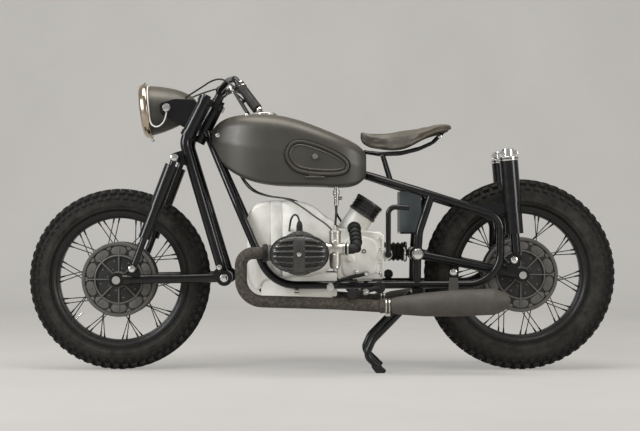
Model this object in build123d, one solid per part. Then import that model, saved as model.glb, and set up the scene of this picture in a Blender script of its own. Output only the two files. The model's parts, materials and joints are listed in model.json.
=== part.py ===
from build123d import *

# Flat-twin motorcycle with a leading-link fork, parked on its centre stand.
# Millimetres. It faces -X, its left side is -Y, +Z is up and the floor is Z = 0.

import math
import os

os.makedirs("parts", exist_ok=True)

# Fits
seat_gap = 0.3          # between pieces that seat on each other
running_gap = 0.05      # radial, a shaft in its bearing

# Wheels
wheelbase = 1415
front_tyre_radius = 320
rear_tyre_radius = 337
front_tyre_width = 100
rear_tyre_width = 110
knob_height = 11
knob_count = 40         # in each of the three rows
rim_radius = 240        # to the edge of the flange
rim_depth = 25
front_rim_half_width = 33
rear_rim_half_width = 37
rim_wall = 4
hub_radius = 132
hub_half_width = 46
hub_boss_radius = 28
hub_boss_half_width = 58
spoke_count = 40
spoke_radius = 2.2
spoke_lean = 10         # degrees round the wheel from flange to rim
axle_radius = 10

front_x = -(wheelbase + rear_tyre_radius - front_tyre_radius) / 2
rear_x = front_x + wheelbase
front_z = front_tyre_radius
rear_z = rear_tyre_radius

# Steering head: the axis passes through the head point and leans back at the top
steering_lean = 26.6
head_x = front_x + 335.7
head_z = 926.6
head_tube_radius = 27
head_tube_length = 112
stem_radius = 15
top_yoke_thickness = 20
lower_yoke_thickness = 20
yoke_offset = 34        # fork legs ahead of the steering axis
fork_half_width = 100   # centre of a leg at the yokes
leg_radius = 18
leg_bend = 55
pivot_half_width = 131  # centre of a leg at its lower eye
fork_pivot_x = front_x + 377
fork_pivot_z = 329
fork_arm_radius = 17
fork_arm_y = 92
axle_eye_half = 19
shock_y = 137

# Frame
frame_tube_radius = 14
frame_half_width = 115
backbone_radius = 20
tunnel_half_width = 26
lower_rail_z = 303
downtube_slope = 170 / 390  # runs back this much for each unit down
rear_loop_x = rear_x - 81
rear_tyre_front = rear_x - rear_tyre_radius
swingarm_pivot_x = rear_tyre_front - 31
swingarm_pivot_z = 411
swingarm_y = 80
swingarm_tube_radius = 16
shaft_tube_radius = 19
tower_y = 115
tower_radius = 32
tower_foot = 553
stand_pivot_x = swingarm_pivot_x
stand_pivot_z = 271
brake_x = 240           # pivot of the brake pedal
brake_z = lower_rail_z + frame_tube_radius + 16
stand_tube_radius = 16
stand_foot_x = stand_pivot_x - 131
battery_x = rear_tyre_front - 53

# Engine
crank_z = 415
cylinder_x = -77        # left cylinder; the right one sits further back
cylinder_stagger = 38
crankcase_half_width = 96
bore_skirt_radius = 50
fin_radius = 76
fin_count = 9
fin_thickness = 2.6
barrel_end_y = 208
head_end_y = 278
head_length = 200
head_height = 131
rocker_length = 188
rocker_height = 119
rocker_end_y = 330
intake_stub = 96        # from the cylinder's axis back to the carburettor
plug_y = 246
plug_z = crank_z + 104
carb_reach = 50
hose_ribs = (0.02, 0.16, 0.26, 0.36, 0.46, 0.56, 0.66, 0.78, 0.94)     # as shares of the intake hose
exhaust_radius = 20.5
exhaust_y = 200
muffler_radius = 45
gearbox_rear_x = 216
kick_x = 229
kick_z = 410
filter_lean = math.radians(34)
filter_up = Vector(math.sin(filter_lean), 0, math.cos(filter_lean))
filter_foot = Vector(139, 0, 547)

# Bodywork
tank_half_width = 146
hinge_y = -tank_half_width - 4.5    # pin of the toolbox lid
hinge_z = 677
hinge_pin_radius = 2
hinge_barrel_radius = 3.6
tap_x = 50
tap_y = 100
tap_foot = 580
lid_overlap = 14        # of the toolbox lid round its pocket
hinge_ends = (-46, -6)  # the lid's barrel between the tank's two
lamp_radius = 98
lamp_depth = 171        # of the shell behind the rim

nodes = {}

lean = math.radians(steering_lean)
axis_up = Vector(math.sin(lean), 0, math.cos(lean))
axis_back = Vector(math.cos(lean), 0, -math.sin(lean))
head_point = Vector(head_x, 0, head_z)


def steer(up, back, y):
    """A point given along the steering axis, behind it and sideways."""
    return head_point + axis_up * up + axis_back * back + Vector(0, y, 0)


def steer_plane(up):
    """A plane square to the steering axis: local x points back, local y is +Y."""
    return Plane(origin=tuple(steer(up, 0, 0)), x_dir=tuple(axis_back), z_dir=tuple(axis_up))


def corner_radii(points, wanted, closed):
    """The wanted radius at each corner, or as much of it as the two runs beside it leave room for."""
    points = [Vector(*p) for p in points]
    count = len(points)
    corners = range(count) if closed else range(1, count - 1)
    radii = []
    for n, i in enumerate(corners):
        before = points[i] - points[i - 1]
        after = points[(i + 1) % count] - points[i]
        turn = math.radians(before.get_angle(after))
        room = 0.47 * min(before.length, after.length) / max(math.tan(turn / 2), 0.001)
        wish = wanted[n] if isinstance(wanted, list) else wanted
        radii.append(min(wish, room))
    return radii


def outline(points, radius=0):
    if not radius:
        return make_face(Polyline(*points, close=True))
    return make_face(FilletPolyline(*points, radius=corner_radii(points, radius, True), close=True))


def slab(face, y_from, y_to):
    """A face drawn in X and Z, extruded between two Y planes."""
    far, near = max(y_from, y_to), min(y_from, y_to)
    side = Plane(origin=(0, far, 0), x_dir=(1, 0, 0), z_dir=(0, -1, 0))
    return extrude(side * face, far - near)


def disc(x, z, radius, y_from, y_to):
    return slab(Pos(x, z) * Circle(radius), y_from, y_to)


def bar(start, end, radius):
    start, end = Vector(*start), Vector(*end)
    return extrude(Plane(origin=start, z_dir=end - start) * Circle(radius), (end - start).length)


def along_x(x_from, x_to, y, z, radius):
    return bar((x_from, y, z), (x_to, y, z), radius)


def bent_tube(points, radius, bends):
    path = FilletPolyline(*points, radius=corner_radii(points, bends, False))
    return sweep(Plane(origin=path @ 0, z_dir=path % 0) * Circle(radius), path=path)


def turned(points, x=0, z=0):
    """Points are radius and Y, turned about the line along Y through x and z."""
    return Pos(x, 0, z) * revolve(outline(points), Axis.Y)


# Wheels

def sector_ring(base, raised, count):
    """A faceted ring of a closed profile of radius and Y, with knobs on two kinds of sector in turn."""
    step = math.pi / count

    def at(point, n):
        return (point[0] * math.cos(step * n), point[1], point[0] * math.sin(step * n))

    def panel(corners):
        return Face(Wire.make_polygon(corners, close=True))

    faces = []
    for n in range(2 * count):
        for i, foot in enumerate(base):
            top = base[(i + 1) % len(base)]
            chain = [foot] + raised[n % 2].get(i, []) + [top]
            for a, b in zip(chain, chain[1:]):
                faces.append(panel([at(a, n), at(b, n), at(b, n + 1), at(a, n + 1)]))
            knob = raised[0].get(i) or raised[1].get(i)
            if knob:
                faces.append(panel([at(corner, n) for corner in [foot] + knob + [top]]))
    return Solid(Shell(faces))


def tyre(radius, width, rim_half_width):
    half = width / 2
    bead_y = rim_half_width - rim_wall - seat_gap
    bead_r = rim_radius - 12 + seat_gap
    crown = radius - knob_height
    left = [(crown, half * 0.44), (crown - 20, half * 0.86), (crown - 40, half * 0.97),
            (rim_radius + 12, half * 0.86), (rim_radius + 1.3, bead_y), (bead_r, bead_y)]
    base = left + [(r, -y) for r, y in reversed(left)]
    crown_knob = {len(base) - 1: [(radius, -half * 0.38), (radius, half * 0.38)]}
    shoulder_knobs = {0: [(radius - 5, half * 0.58), (radius - 24, half)],
                      len(base) - 2: [(radius - 24, -half), (radius - 5, -half * 0.58)]}
    return sector_ring(base, [crown_knob, shoulder_knobs], knob_count)


def rim(half_width):
    well_r = rim_radius - rim_depth
    shelf_r = rim_radius - 16
    outside = [(rim_radius, half_width), (shelf_r, half_width), (shelf_r, 20), (well_r, 14)]
    inside = [(well_r + rim_wall, 16), (shelf_r + rim_wall, 22),
              (shelf_r + rim_wall, half_width - rim_wall), (rim_radius, half_width - rim_wall)]
    loop = outside + [(r, -y) for r, y in reversed(outside)]
    loop += [(r, -y) for r, y in reversed(inside)] + inside
    return revolve(outline(loop), Axis.Y)


def hub_cover(face_y):
    """Cast face of the hub on the left: rim ring, ten petals, inner ring, eight ribs and boss."""
    depth = 6
    face = Circle(hub_radius) - Circle(hub_radius - 14)
    face += Circle(88) - Circle(80)
    face += Circle(hub_boss_radius)
    for i in range(8):
        face += Rot(0, 0, 45 * i + 22.5) * Pos(54, 0) * Rectangle(58, 6)
    for i in range(10):
        face += Rot(0, 0, 36 * i) * Pos(102, 0) * Rectangle(36, 9)
    return slab(face, -face_y + 0.5, -face_y - depth)


def hub(rim_half_width):
    bore = axle_radius + running_gap
    flange = hub_radius
    drum = hub_radius - 24
    profile = [(bore, -hub_boss_half_width), (hub_boss_radius, -hub_boss_half_width),
               (hub_boss_radius, -hub_half_width), (flange, -hub_half_width),
               (flange, -hub_half_width + 12), (drum, -hub_half_width + 18),
               (drum, hub_half_width - 18), (flange, hub_half_width - 12),
               (flange, hub_half_width), (bore, hub_half_width)]
    body = revolve(outline(profile), Axis.Y) + hub_cover(hub_half_width)
    spokes = []
    for i in range(spoke_count):
        side = 1 if i % 2 else -1
        turn = 1 if (i // 2) % 2 else -1
        angle = 360 / spoke_count * i
        root = Vector(hub_radius - 8, side * (hub_half_width - 6), 0).rotate(Axis.Y, angle)
        rim_end = Vector(rim_radius - rim_depth - spoke_radius * 0.45 - seat_gap, side * 7,
                         0).rotate(Axis.Y, angle + turn * spoke_lean)
        spokes.append(bar(root, rim_end, spoke_radius))
    return body + spokes - disc(0, 0, bore, -hub_boss_half_width - 5, hub_boss_half_width + 5)


def make_wheels():
    sizes = [("front", front_x, front_z, front_tyre_radius, front_tyre_width, front_rim_half_width),
             ("rear", rear_x, rear_z, rear_tyre_radius, rear_tyre_width, rear_rim_half_width)]
    for name, x, z, radius, width, half in sizes:
        nodes[name + "_tyre"] = Pos(x, 0, z) * tyre(radius, width, half)
        nodes[name + "_rim"] = Pos(x, 0, z) * rim(half)
        nodes[name + "_hub"] = Pos(x, 0, z) * hub(half)


# Fork, which turns with the handlebar

top_yoke_low = -4
top_yoke_top = top_yoke_low + top_yoke_thickness
head_tube_top = top_yoke_low - seat_gap
head_tube_low = head_tube_top - head_tube_length
lower_yoke_top = head_tube_low - seat_gap
lower_yoke_low = lower_yoke_top - lower_yoke_thickness


def leg_path(y_sign):
    top = steer(top_yoke_top, -yoke_offset, y_sign * fork_half_width)
    bend = steer(lower_yoke_low - 20, -yoke_offset, y_sign * fork_half_width)
    low = Vector(fork_pivot_x - 6, y_sign * pivot_half_width, fork_pivot_z + 22)
    return [top, bend, low]


def leg_at(z, y_sign):
    _, bend, low = leg_path(y_sign)
    share = (bend.Z - z) / (bend.Z - low.Z)
    return bend + (low - bend) * share


def yoke_plate(low, thickness, middle):
    """A plate with a clamp round each leg, and the form that it has round the stem."""
    clamps = [Pos(-yoke_offset, y) * Circle(leg_radius + 7) for y in (-fork_half_width, fork_half_width)]
    web = make_hull([edge for clamp in clamps for edge in clamp.edges()])
    return extrude(steer_plane(low) * (web + middle), thickness)


def make_yokes():
    legs = [bar(steer(30, -yoke_offset, y), steer(lower_yoke_low - 5, -yoke_offset, y), leg_radius + seat_gap)
            for y in (-fork_half_width, fork_half_width)]
    top = yoke_plate(top_yoke_low, top_yoke_thickness, Pos(-2, 0) * RectangleRounded(64, 100, 16)) - legs
    top -= bar(steer(-20, 0, 0), steer(40, 0, 0), stem_radius + seat_gap)
    clamp_up = 62
    for y in (-38, 38):
        riser = bar(steer(top_yoke_top - 1, -4, y), steer(clamp_up, -4, y), 13)
        ring = bar(steer(clamp_up, -4, y - 14), steer(clamp_up, -4, y + 14), 18)
        top += riser + ring
    handlebar_hole = bar(steer(clamp_up, -4, -60), steer(clamp_up, -4, 60), 11 + seat_gap)
    nodes["top_yoke"] = top - handlebar_hole
    lower = yoke_plate(lower_yoke_low, lower_yoke_thickness, Circle(stem_radius + 9)) - [
        bent_tube(leg_path(s), leg_radius + seat_gap, leg_bend) for s in (-1, 1)]
    lower += bar(steer(lower_yoke_low + 2, 0, 0), steer(top_yoke_top + 6, 0, 0), stem_radius)
    lower += extrude(steer_plane(top_yoke_top + seat_gap) * RegularPolygon(23, 6), 14)
    nodes["lower_yoke"] = lower


def make_fork():
    bolt_up = Vector(front_x + 206, 0, 745)
    legs = Part()
    for s in (-1, 1):
        leg = bent_tube(leg_path(s), leg_radius, leg_bend)
        eye = disc(fork_pivot_x, fork_pivot_z, 28, s * (pivot_half_width - 9), s * (pivot_half_width + 9))
        eye += disc(fork_pivot_x - 14, fork_pivot_z + 12, 24, s * (pivot_half_width - 8),
                    s * (pivot_half_width + 8))
        holder = leg_at(bolt_up.Z, s)
        ear = outline([(holder.X - 2, 778), (bolt_up.X - 6, 763), (bolt_up.X - 14, 738),
                       (holder.X + 6, 712)], 8)
        ear_slab = slab(ear, s * 104, s * 112)
        bolt = disc(bolt_up.X, bolt_up.Z, 8, s * 108, s * (shock_y + 15))
        bolt += disc(bolt_up.X, bolt_up.Z, 15, s * (shock_y + 12 + seat_gap), s * (shock_y + 19))
        cap = bar(steer(top_yoke_top - 1, -yoke_offset, s * fork_half_width),
                  steer(top_yoke_top + 9, -yoke_offset, s * fork_half_width), 14)
        one = leg + eye + ear_slab + bolt + cap
        one -= disc(fork_pivot_x, fork_pivot_z, 10 + seat_gap, s * 100, s * 160)
        legs += one
    nodes["fork_legs"] = legs
    arms = disc(fork_pivot_x, fork_pivot_z, 18, -pivot_half_width + 9 + seat_gap,
                pivot_half_width - 9 - seat_gap)
    lug_x, lug_z = front_x + 60, 361
    for s in (-1, 1):
        arms += bar((fork_pivot_x, s * fork_arm_y, fork_pivot_z), (front_x + 16, s * fork_arm_y, front_z + 1),
                    fork_arm_radius)
        arms += disc(front_x, front_z, 25, s * (fork_arm_y - axle_eye_half), s * (fork_arm_y + axle_eye_half))
        arms += bar((front_x + 50, s * fork_arm_y, front_z + 1.8),
                    (front_x + 5, s * fork_arm_y, front_z + 0.6), 19)
        arms += disc(fork_pivot_x, fork_pivot_z, 10, s * 100, s * (pivot_half_width + 9 + 3))
        arms += disc(fork_pivot_x, fork_pivot_z, 16, s * (pivot_half_width + 9 + seat_gap),
                     s * (pivot_half_width + 16))
        arms += slab(outline([(lug_x - 26, front_z + 4), (lug_x + 26, front_z + 4), (lug_x + 13, lug_z + 8),
                              (lug_x - 13, lug_z + 8)], 6), s * (fork_arm_y + 4), s * (fork_arm_y + 14))
        arms += disc(lug_x, lug_z, 8, s * (fork_arm_y + 10), s * (shock_y + 14))
        arms += disc(lug_x, lug_z, 15, s * (shock_y + 12 + seat_gap), s * (shock_y + 18))
    arms -= disc(front_x, front_z, axle_radius + seat_gap, -140, 140)
    nodes["front_swingarm"] = arms
    shocks = Part()
    for s in (-1, 1):
        shock = shock_tube((bolt_up.X, bolt_up.Z), (lug_x, lug_z), s * shock_y,
                           [(8, 30, 11), (28, 182, 24), (182, 298, 21), (298, 396, 12)])
        shocks += shock
    nodes["front_shocks"] = shocks
    outer = fork_arm_y + axle_eye_half + seat_gap
    axle = disc(front_x, front_z, axle_radius, -outer - 2, outer + 2)
    for s in (-1, 1):
        axle += disc(front_x, front_z, 14, s * outer, s * (outer + 10))
        axle += disc(front_x, front_z, 16, s * (hub_boss_half_width + 1),
                     s * (fork_arm_y - axle_eye_half - seat_gap))
    nodes["front_axle"] = axle


def shock_tube(upper, lower, y, sections):
    """A telescopic unit: an eye at each end and round sections down its line."""
    start = Vector(upper[0], y, upper[1])
    end = Vector(lower[0], y, lower[1])
    run = (end - start).normalized()
    body = Part()
    for low, high, radius in sections:
        body += bar(start + run * low, start + run * high, radius)
    for point in (start, end):
        body += disc(point.X, point.Z, 15, y - 12, y + 12)
    for point in (start, end):
        body -= disc(point.X, point.Z, 8 + seat_gap, y - 30, y + 30)
    return body


def make_headlight():
    tilt = math.radians(7)
    look = Vector(-math.cos(tilt), 0, -math.sin(tilt))
    rim_back = Vector(front_x + 104, 0, 917)
    plane = Plane(origin=tuple(rim_back), x_dir=(0, 1, 0), z_dir=tuple(look))
    shell_steps = [(16, -168), (30, -158), (46, -138), (62, -108), (76, -66), (lamp_radius - 11, -24),
                   (lamp_radius - 10, 0)]
    shell = revolve(outline([(0, -lamp_depth)] + shell_steps + [(0, 0)]), Axis.Y)
    shell_room = revolve(outline([(0, -lamp_depth - seat_gap)] + [(r + seat_gap, h) for r, h in shell_steps]
                                 + [(lamp_radius - 10 + seat_gap, 30), (0, 30)]), Axis.Y)
    place = plane.location * Rot(90, 0, 0)
    ring_profile = [(lamp_radius - 12, seat_gap), (lamp_radius, seat_gap), (lamp_radius, 14),
                    (lamp_radius - 8, 27), (lamp_radius - 14, 27), (lamp_radius - 18, 20)]
    lens_profile = [(0, seat_gap), (lamp_radius - 12 - seat_gap, seat_gap), (lamp_radius - 18 - seat_gap, 20),
                    (60, 27), (0, 31)]
    nodes["headlight_shell"] = place * shell
    nodes["headlight_rim"] = place * revolve(outline(ring_profile), Axis.Y)
    nodes["headlight_lens"] = place * revolve(outline(lens_profile), Axis.Y)
    ears = Part()
    bolt_x, bolt_z = front_x + 174, 920
    for s in (-1, 1):
        sleeve = bar(steer(top_yoke_low - seat_gap, -yoke_offset, s * fork_half_width),
                     steer(lower_yoke_top + seat_gap, -yoke_offset, s * fork_half_width), leg_radius + 4)
        plate = outline([(bolt_x - 26, bolt_z + 16), (bolt_x - 20, bolt_z - 22), (front_x + 262, 838),
                         (front_x + 290, 840), (front_x + 306, 905), (front_x + 270, 948),
                         (bolt_x + 30, bolt_z + 32)], 12)
        ears += sleeve + slab(plate, s * 95, s * 99) + disc(bolt_x, bolt_z, 15, s * 98, s * 107)
        ears += disc(bolt_x, bolt_z, 8, s * 60, s * 99)
        ears -= bar(steer(30, -yoke_offset, s * fork_half_width),
                    steer(lower_yoke_low - 5, -yoke_offset, s * fork_half_width), leg_radius + seat_gap)
    nodes["headlight_ears"] = ears - place * shell_room


def make_handlebar():
    centre = steer(62, -4, 0)
    grips = Part()
    levers = Part()
    bar_points = [centre + Vector(0, 90, 0), centre + Vector(34, 165, 26), centre + Vector(62, 262, 22),
                  centre + Vector(137, 325, -78)]
    path = [Vector(p.X, -p.Y, p.Z) for p in reversed(bar_points)] + bar_points
    nodes["handlebar"] = bent_tube(path, 11, [24, 60, 60, 60, 60, 24])
    for s in (-1, 1):
        inner = Vector(bar_points[2].X, s * bar_points[2].Y, bar_points[2].Z)
        outer = Vector(bar_points[3].X, s * bar_points[3].Y, bar_points[3].Z)
        run = (outer - inner).normalized()
        grips += bar(inner + run * 44, outer + run * 6, 16) - bar(inner, outer + run * seat_gap,
                                                                  11 + seat_gap)
        lever_side = Vector(-0.72, 0, -0.45)
        perch = inner + run * 32
        lever = bar(perch - run * 9, perch + run * 10, 15) + bar(perch + lever_side * 13,
                                                                 perch + lever_side * 34, 7)
        lever += bar(perch + lever_side * 32 - run * 6, perch + lever_side * 44 + run * 108, 5)
        levers += lever - bar(perch - run * 30, perch + run * 30, 11 + seat_gap)
    nodes["grips"] = grips
    nodes["control_levers"] = levers


# Frame and rear suspension

def downtube_points(s):
    top = Vector(head_x - 28, s * 18, 838)
    shoulder = Vector(top.X + downtube_slope * 278, s * (frame_half_width - 7), top.Z - 278)
    foot = Vector(top.X + downtube_slope * (top.Z - lower_rail_z), s * frame_half_width, lower_rail_z)
    return [top, shoulder, foot]


def downtube(s, radius):
    return bent_tube(downtube_points(s), radius, 300)


def seat_rail(s):
    """The straight part of the frame's loop under the saddle, from behind forwards."""
    return [Vector(swingarm_pivot_x - 1, s * frame_half_width, 632), Vector(170, s * 45, 683)]


def frame_side(s):
    y = s * frame_half_width
    loop = downtube_points(s) + [Vector(rear_loop_x, y, lower_rail_z + 3), Vector(rear_loop_x + 3, y, 540)]
    loop += seat_rail(s) + [Vector(60, s * 18, 714)]
    tube = bent_tube(loop, frame_tube_radius, [300, 130, 140, 60, 90, 90])
    strut = bent_tube([Vector(swingarm_pivot_x + 47, y, 612), Vector(swingarm_pivot_x + 6, y, 490),
                       Vector(swingarm_pivot_x, y, swingarm_pivot_z),
                       Vector(swingarm_pivot_x - 2, y, lower_rail_z)], frame_tube_radius, [120, 200])
    return tube + strut


def backbone_z(x):
    share = (x - (head_x - 38)) / (100 - (head_x - 38))
    return 838 + (702 - 838) * share


def make_frame():
    backbone = bar((head_x - 38, 0, 838), (100, 0, 702), backbone_radius)
    head = bar(steer(head_tube_low, 0, 0), steer(head_tube_top, 0, 0), head_tube_radius)
    frame = backbone + head + frame_side(-1) + frame_side(1)
    frame += disc(swingarm_pivot_x, swingarm_pivot_z, 18, -frame_half_width, frame_half_width)
    frame += disc(swingarm_pivot_x + 47, 614, 11, -frame_half_width, frame_half_width)
    arm = outline([(rear_x - 203, 590), (rear_x - 43, 586), (rear_x - 43, tower_foot + 1),
                   (rear_x - 76, tower_foot + 1), (rear_x - 115, 529), (rear_x - 185, 556)], 8)
    for s in (-1, 1):
        y = s * tower_y
        foot = bar((tower_line(500), y, 500), (tower_line(640), y, 640), tower_radius - 3 + seat_gap)
        frame += slab(arm, s * (tower_y - 8), s * (tower_y + 8)) - foot
        frame += disc(swingarm_pivot_x, swingarm_pivot_z, 19, s * 100, s * 134)
        ear = outline([(stand_pivot_x - 22, lower_rail_z), (stand_pivot_x + 24, lower_rail_z),
                       (stand_pivot_x + 14, stand_pivot_z - 14), (stand_pivot_x - 14, stand_pivot_z - 14)], 6)
        frame += slab(ear, s * 103, s * 111)
        lug = outline([(434, lower_rail_z + 2), (480, lower_rail_z + 2), (464, 362), (446, 362)], 6)
        frame += slab(lug, s * 108, s * 122) + disc(455, 348, 14, s * 108, s * 128)
        frame -= disc(455, 348, 5, s * 90, s * 140)
        if s > 0:
            frame += disc(brake_x, brake_z, 17, 103, 113)
        for x, z in ((-88, 280), (150, 282)):
            plate = outline([(x - 18, lower_rail_z), (x + 18, lower_rail_z), (x + 12, z - 12),
                             (x - 12, z - 12)], 5)
            frame += slab(plate, s * 104, s * 112)
            frame -= disc(x, z, 7 + seat_gap, s * 90, s * 140)
    frame -= disc(brake_x, brake_z, 10 + seat_gap, 90, 140)
    frame -= bar(steer(head_tube_low - 5, 0, 0), steer(head_tube_top + 5, 0, 0), stem_radius + running_gap)
    frame -= disc(stand_pivot_x, stand_pivot_z, 9 + running_gap, -140, 140)
    for x in (-250, 20):
        frame += disc(x, backbone_z(x), 9, -tunnel_half_width + seat_gap, tunnel_half_width - seat_gap)
    tray = Pos(battery_x, 0, 484) * Box(74, 2 * frame_half_width - 10, 6)
    frame += tray
    nodes["main_frame"] = frame


def tower_line(z):
    """The line of a rear shock, as X at a height."""
    return rear_x - 23 + (398 - z) * (32 / 391)


def make_rear_suspension():
    towers = Part()
    shocks = Part()
    for s in (-1, 1):
        y = s * tower_y
        tube = bar((tower_line(591), y, 591), (tower_line(736), y, 736), tower_radius)
        cap = bar((tower_line(736), y, 736), (tower_line(746), y, 746), tower_radius + 2)
        cap += bar((tower_line(745), y, 745), (tower_line(776), y, 776), tower_radius - 12)
        towers += tube + cap + bar((tower_line(tower_foot), y, tower_foot), (tower_line(593), y, 593),
                                   tower_radius - 3)
        start = Vector(tower_line(tower_foot - seat_gap), y, tower_foot - seat_gap)
        end = Vector(rear_x - 23, y, 398)
        run = (end - start).normalized()
        unit = bar(start, start + run * 71, 30.6) + bar(start + run * 70, start + run * 136, 16)
        unit += bar(start + run * 130, end, 11) + disc(end.X, end.Z, 16, y - 13, y + 13)
        shocks += unit - disc(end.X, end.Z, 8 + seat_gap, y - 40, y + 40)
    nodes["shock_towers"] = towers
    nodes["rear_shocks"] = shocks

    arm = bar((swingarm_pivot_x, -swingarm_y, swingarm_pivot_z), (rear_x - 10, -swingarm_y, rear_z + 2),
              swingarm_tube_radius)
    arm += bar((swingarm_pivot_x, swingarm_y, swingarm_pivot_z), (rear_x - 70, swingarm_y, rear_z + 14),
               shaft_tube_radius)
    arm += disc(rear_x, rear_z, 24, -swingarm_y - 17, -swingarm_y + 17)
    lug = outline([(rear_x - 60, rear_z + 4), (rear_x - 17, rear_z + 4), (rear_x - 12, 410),
                   (rear_x - 34, 410)], 6)
    arm += slab(lug, -swingarm_y - 18, -swingarm_y - 8)
    arm += disc(rear_x - 23, 398, 8, -swingarm_y - 10, -tower_y - 22)
    arm += disc(rear_x - 23, 398, 15, -tower_y - 13 - seat_gap, -tower_y - 22)
    arm += disc(swingarm_pivot_x, swingarm_pivot_z, 26, -swingarm_y - 15, -swingarm_y + 14)
    arm += disc(swingarm_pivot_x, swingarm_pivot_z, 26, swingarm_y - 14, swingarm_y + 15)
    arm += disc(swingarm_pivot_x, swingarm_pivot_z, 24, -swingarm_y, swingarm_y)
    arm -= disc(swingarm_pivot_x, swingarm_pivot_z, 18 + seat_gap, -140, 140)
    arm -= disc(rear_x, rear_z, axle_radius + seat_gap, -140, 140)
    nodes["rear_swingarm"] = arm

    drive = turned([(axle_radius + seat_gap, 61), (80, 61), (88, 68), (88, 82), (60, 93), (34, 99), (34, 118),
                    (axle_radius + seat_gap, 118)],
                   rear_x, rear_z)
    nose = bar((rear_x - 84, swingarm_y, rear_z + 17), (rear_x - 20, swingarm_y, rear_z + 4), 25)
    drive += nose - disc(rear_x, rear_z, 30, 50, 130)
    drive_lug = outline([(rear_x - 50, rear_z + 40), (rear_x + 6, rear_z + 40), (rear_x - 12, 410),
                         (rear_x - 34, 410)], 6)
    drive += slab(drive_lug, 70, 94) + disc(rear_x - 23, 398, 8, 90, tower_y + 22)
    drive += disc(rear_x - 23, 398, 15, tower_y + 13 + seat_gap, tower_y + 22)
    drive -= disc(rear_x, rear_z, axle_radius + seat_gap, 40, 140)
    drive -= bar((swingarm_pivot_x, swingarm_y, swingarm_pivot_z), (rear_x - 68, swingarm_y, rear_z + 13.6),
                 shaft_tube_radius + seat_gap)
    nodes["final_drive"] = drive
    gaiter_start = gearbox_rear_x + 2 + seat_gap
    gaiter_end = swingarm_pivot_x - 26 - seat_gap
    folds = 11
    pitch = (gaiter_end - gaiter_start) / folds
    gaiter_points = [(0, gaiter_start)]
    gaiter_points += [(35 if i % 2 else 28, gaiter_start + pitch * i) for i in range(folds + 1)]
    gaiter_points += [(0, gaiter_end)]
    gaiter = revolve(outline(gaiter_points), Axis.Y)
    nodes["drive_gaiter"] = Pos(0, swingarm_y, crank_z) * Rot(0, 0, -90) * gaiter
    axle = disc(rear_x, rear_z, axle_radius, -swingarm_y - 19, 120)
    axle += disc(rear_x, rear_z, 13, -swingarm_y - 17 - seat_gap, -swingarm_y - 28)
    axle += disc(rear_x, rear_z, 13, 118 + seat_gap, 128)
    axle += disc(rear_x, rear_z, 16, -hub_boss_half_width - 1, -swingarm_y + 17 + seat_gap)
    nodes["rear_axle"] = axle


def make_stand():
    tube = disc(stand_pivot_x, stand_pivot_z, stand_tube_radius, -103 + seat_gap, 103 - seat_gap)
    pin = disc(stand_pivot_x, stand_pivot_z, 9, -116, 116)
    stand = tube + pin
    for s in (-1, 1):
        leg = bent_tube([Vector(stand_pivot_x, s * 124, stand_pivot_z),
                         Vector(stand_foot_x - 25, s * 127, 112), Vector(stand_foot_x - 48, s * 130, 60),
                         Vector(stand_foot_x, s * 132, 14)], 12, [60, 30])
        foot = slab(outline([(stand_foot_x - 34, 26), (stand_foot_x - 14, 0), (stand_foot_x + 16, 0),
                             (stand_foot_x + 22, 10), (stand_foot_x + 4, 24)], 4), s * 120, s * 144)
        ring = disc(stand_pivot_x, stand_pivot_z, 13, s * (111 + seat_gap), s * 128)
        stand += leg + foot + ring
    nodes["centre_stand"] = stand


# Engine

def round_ends(solid, radius):
    """Rounds the rims of the two end faces of a slab."""
    ends = solid.faces().sort_by(Axis.Y)
    return fillet(ends[0].edges() + ends[-1].edges(), radius)


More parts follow.
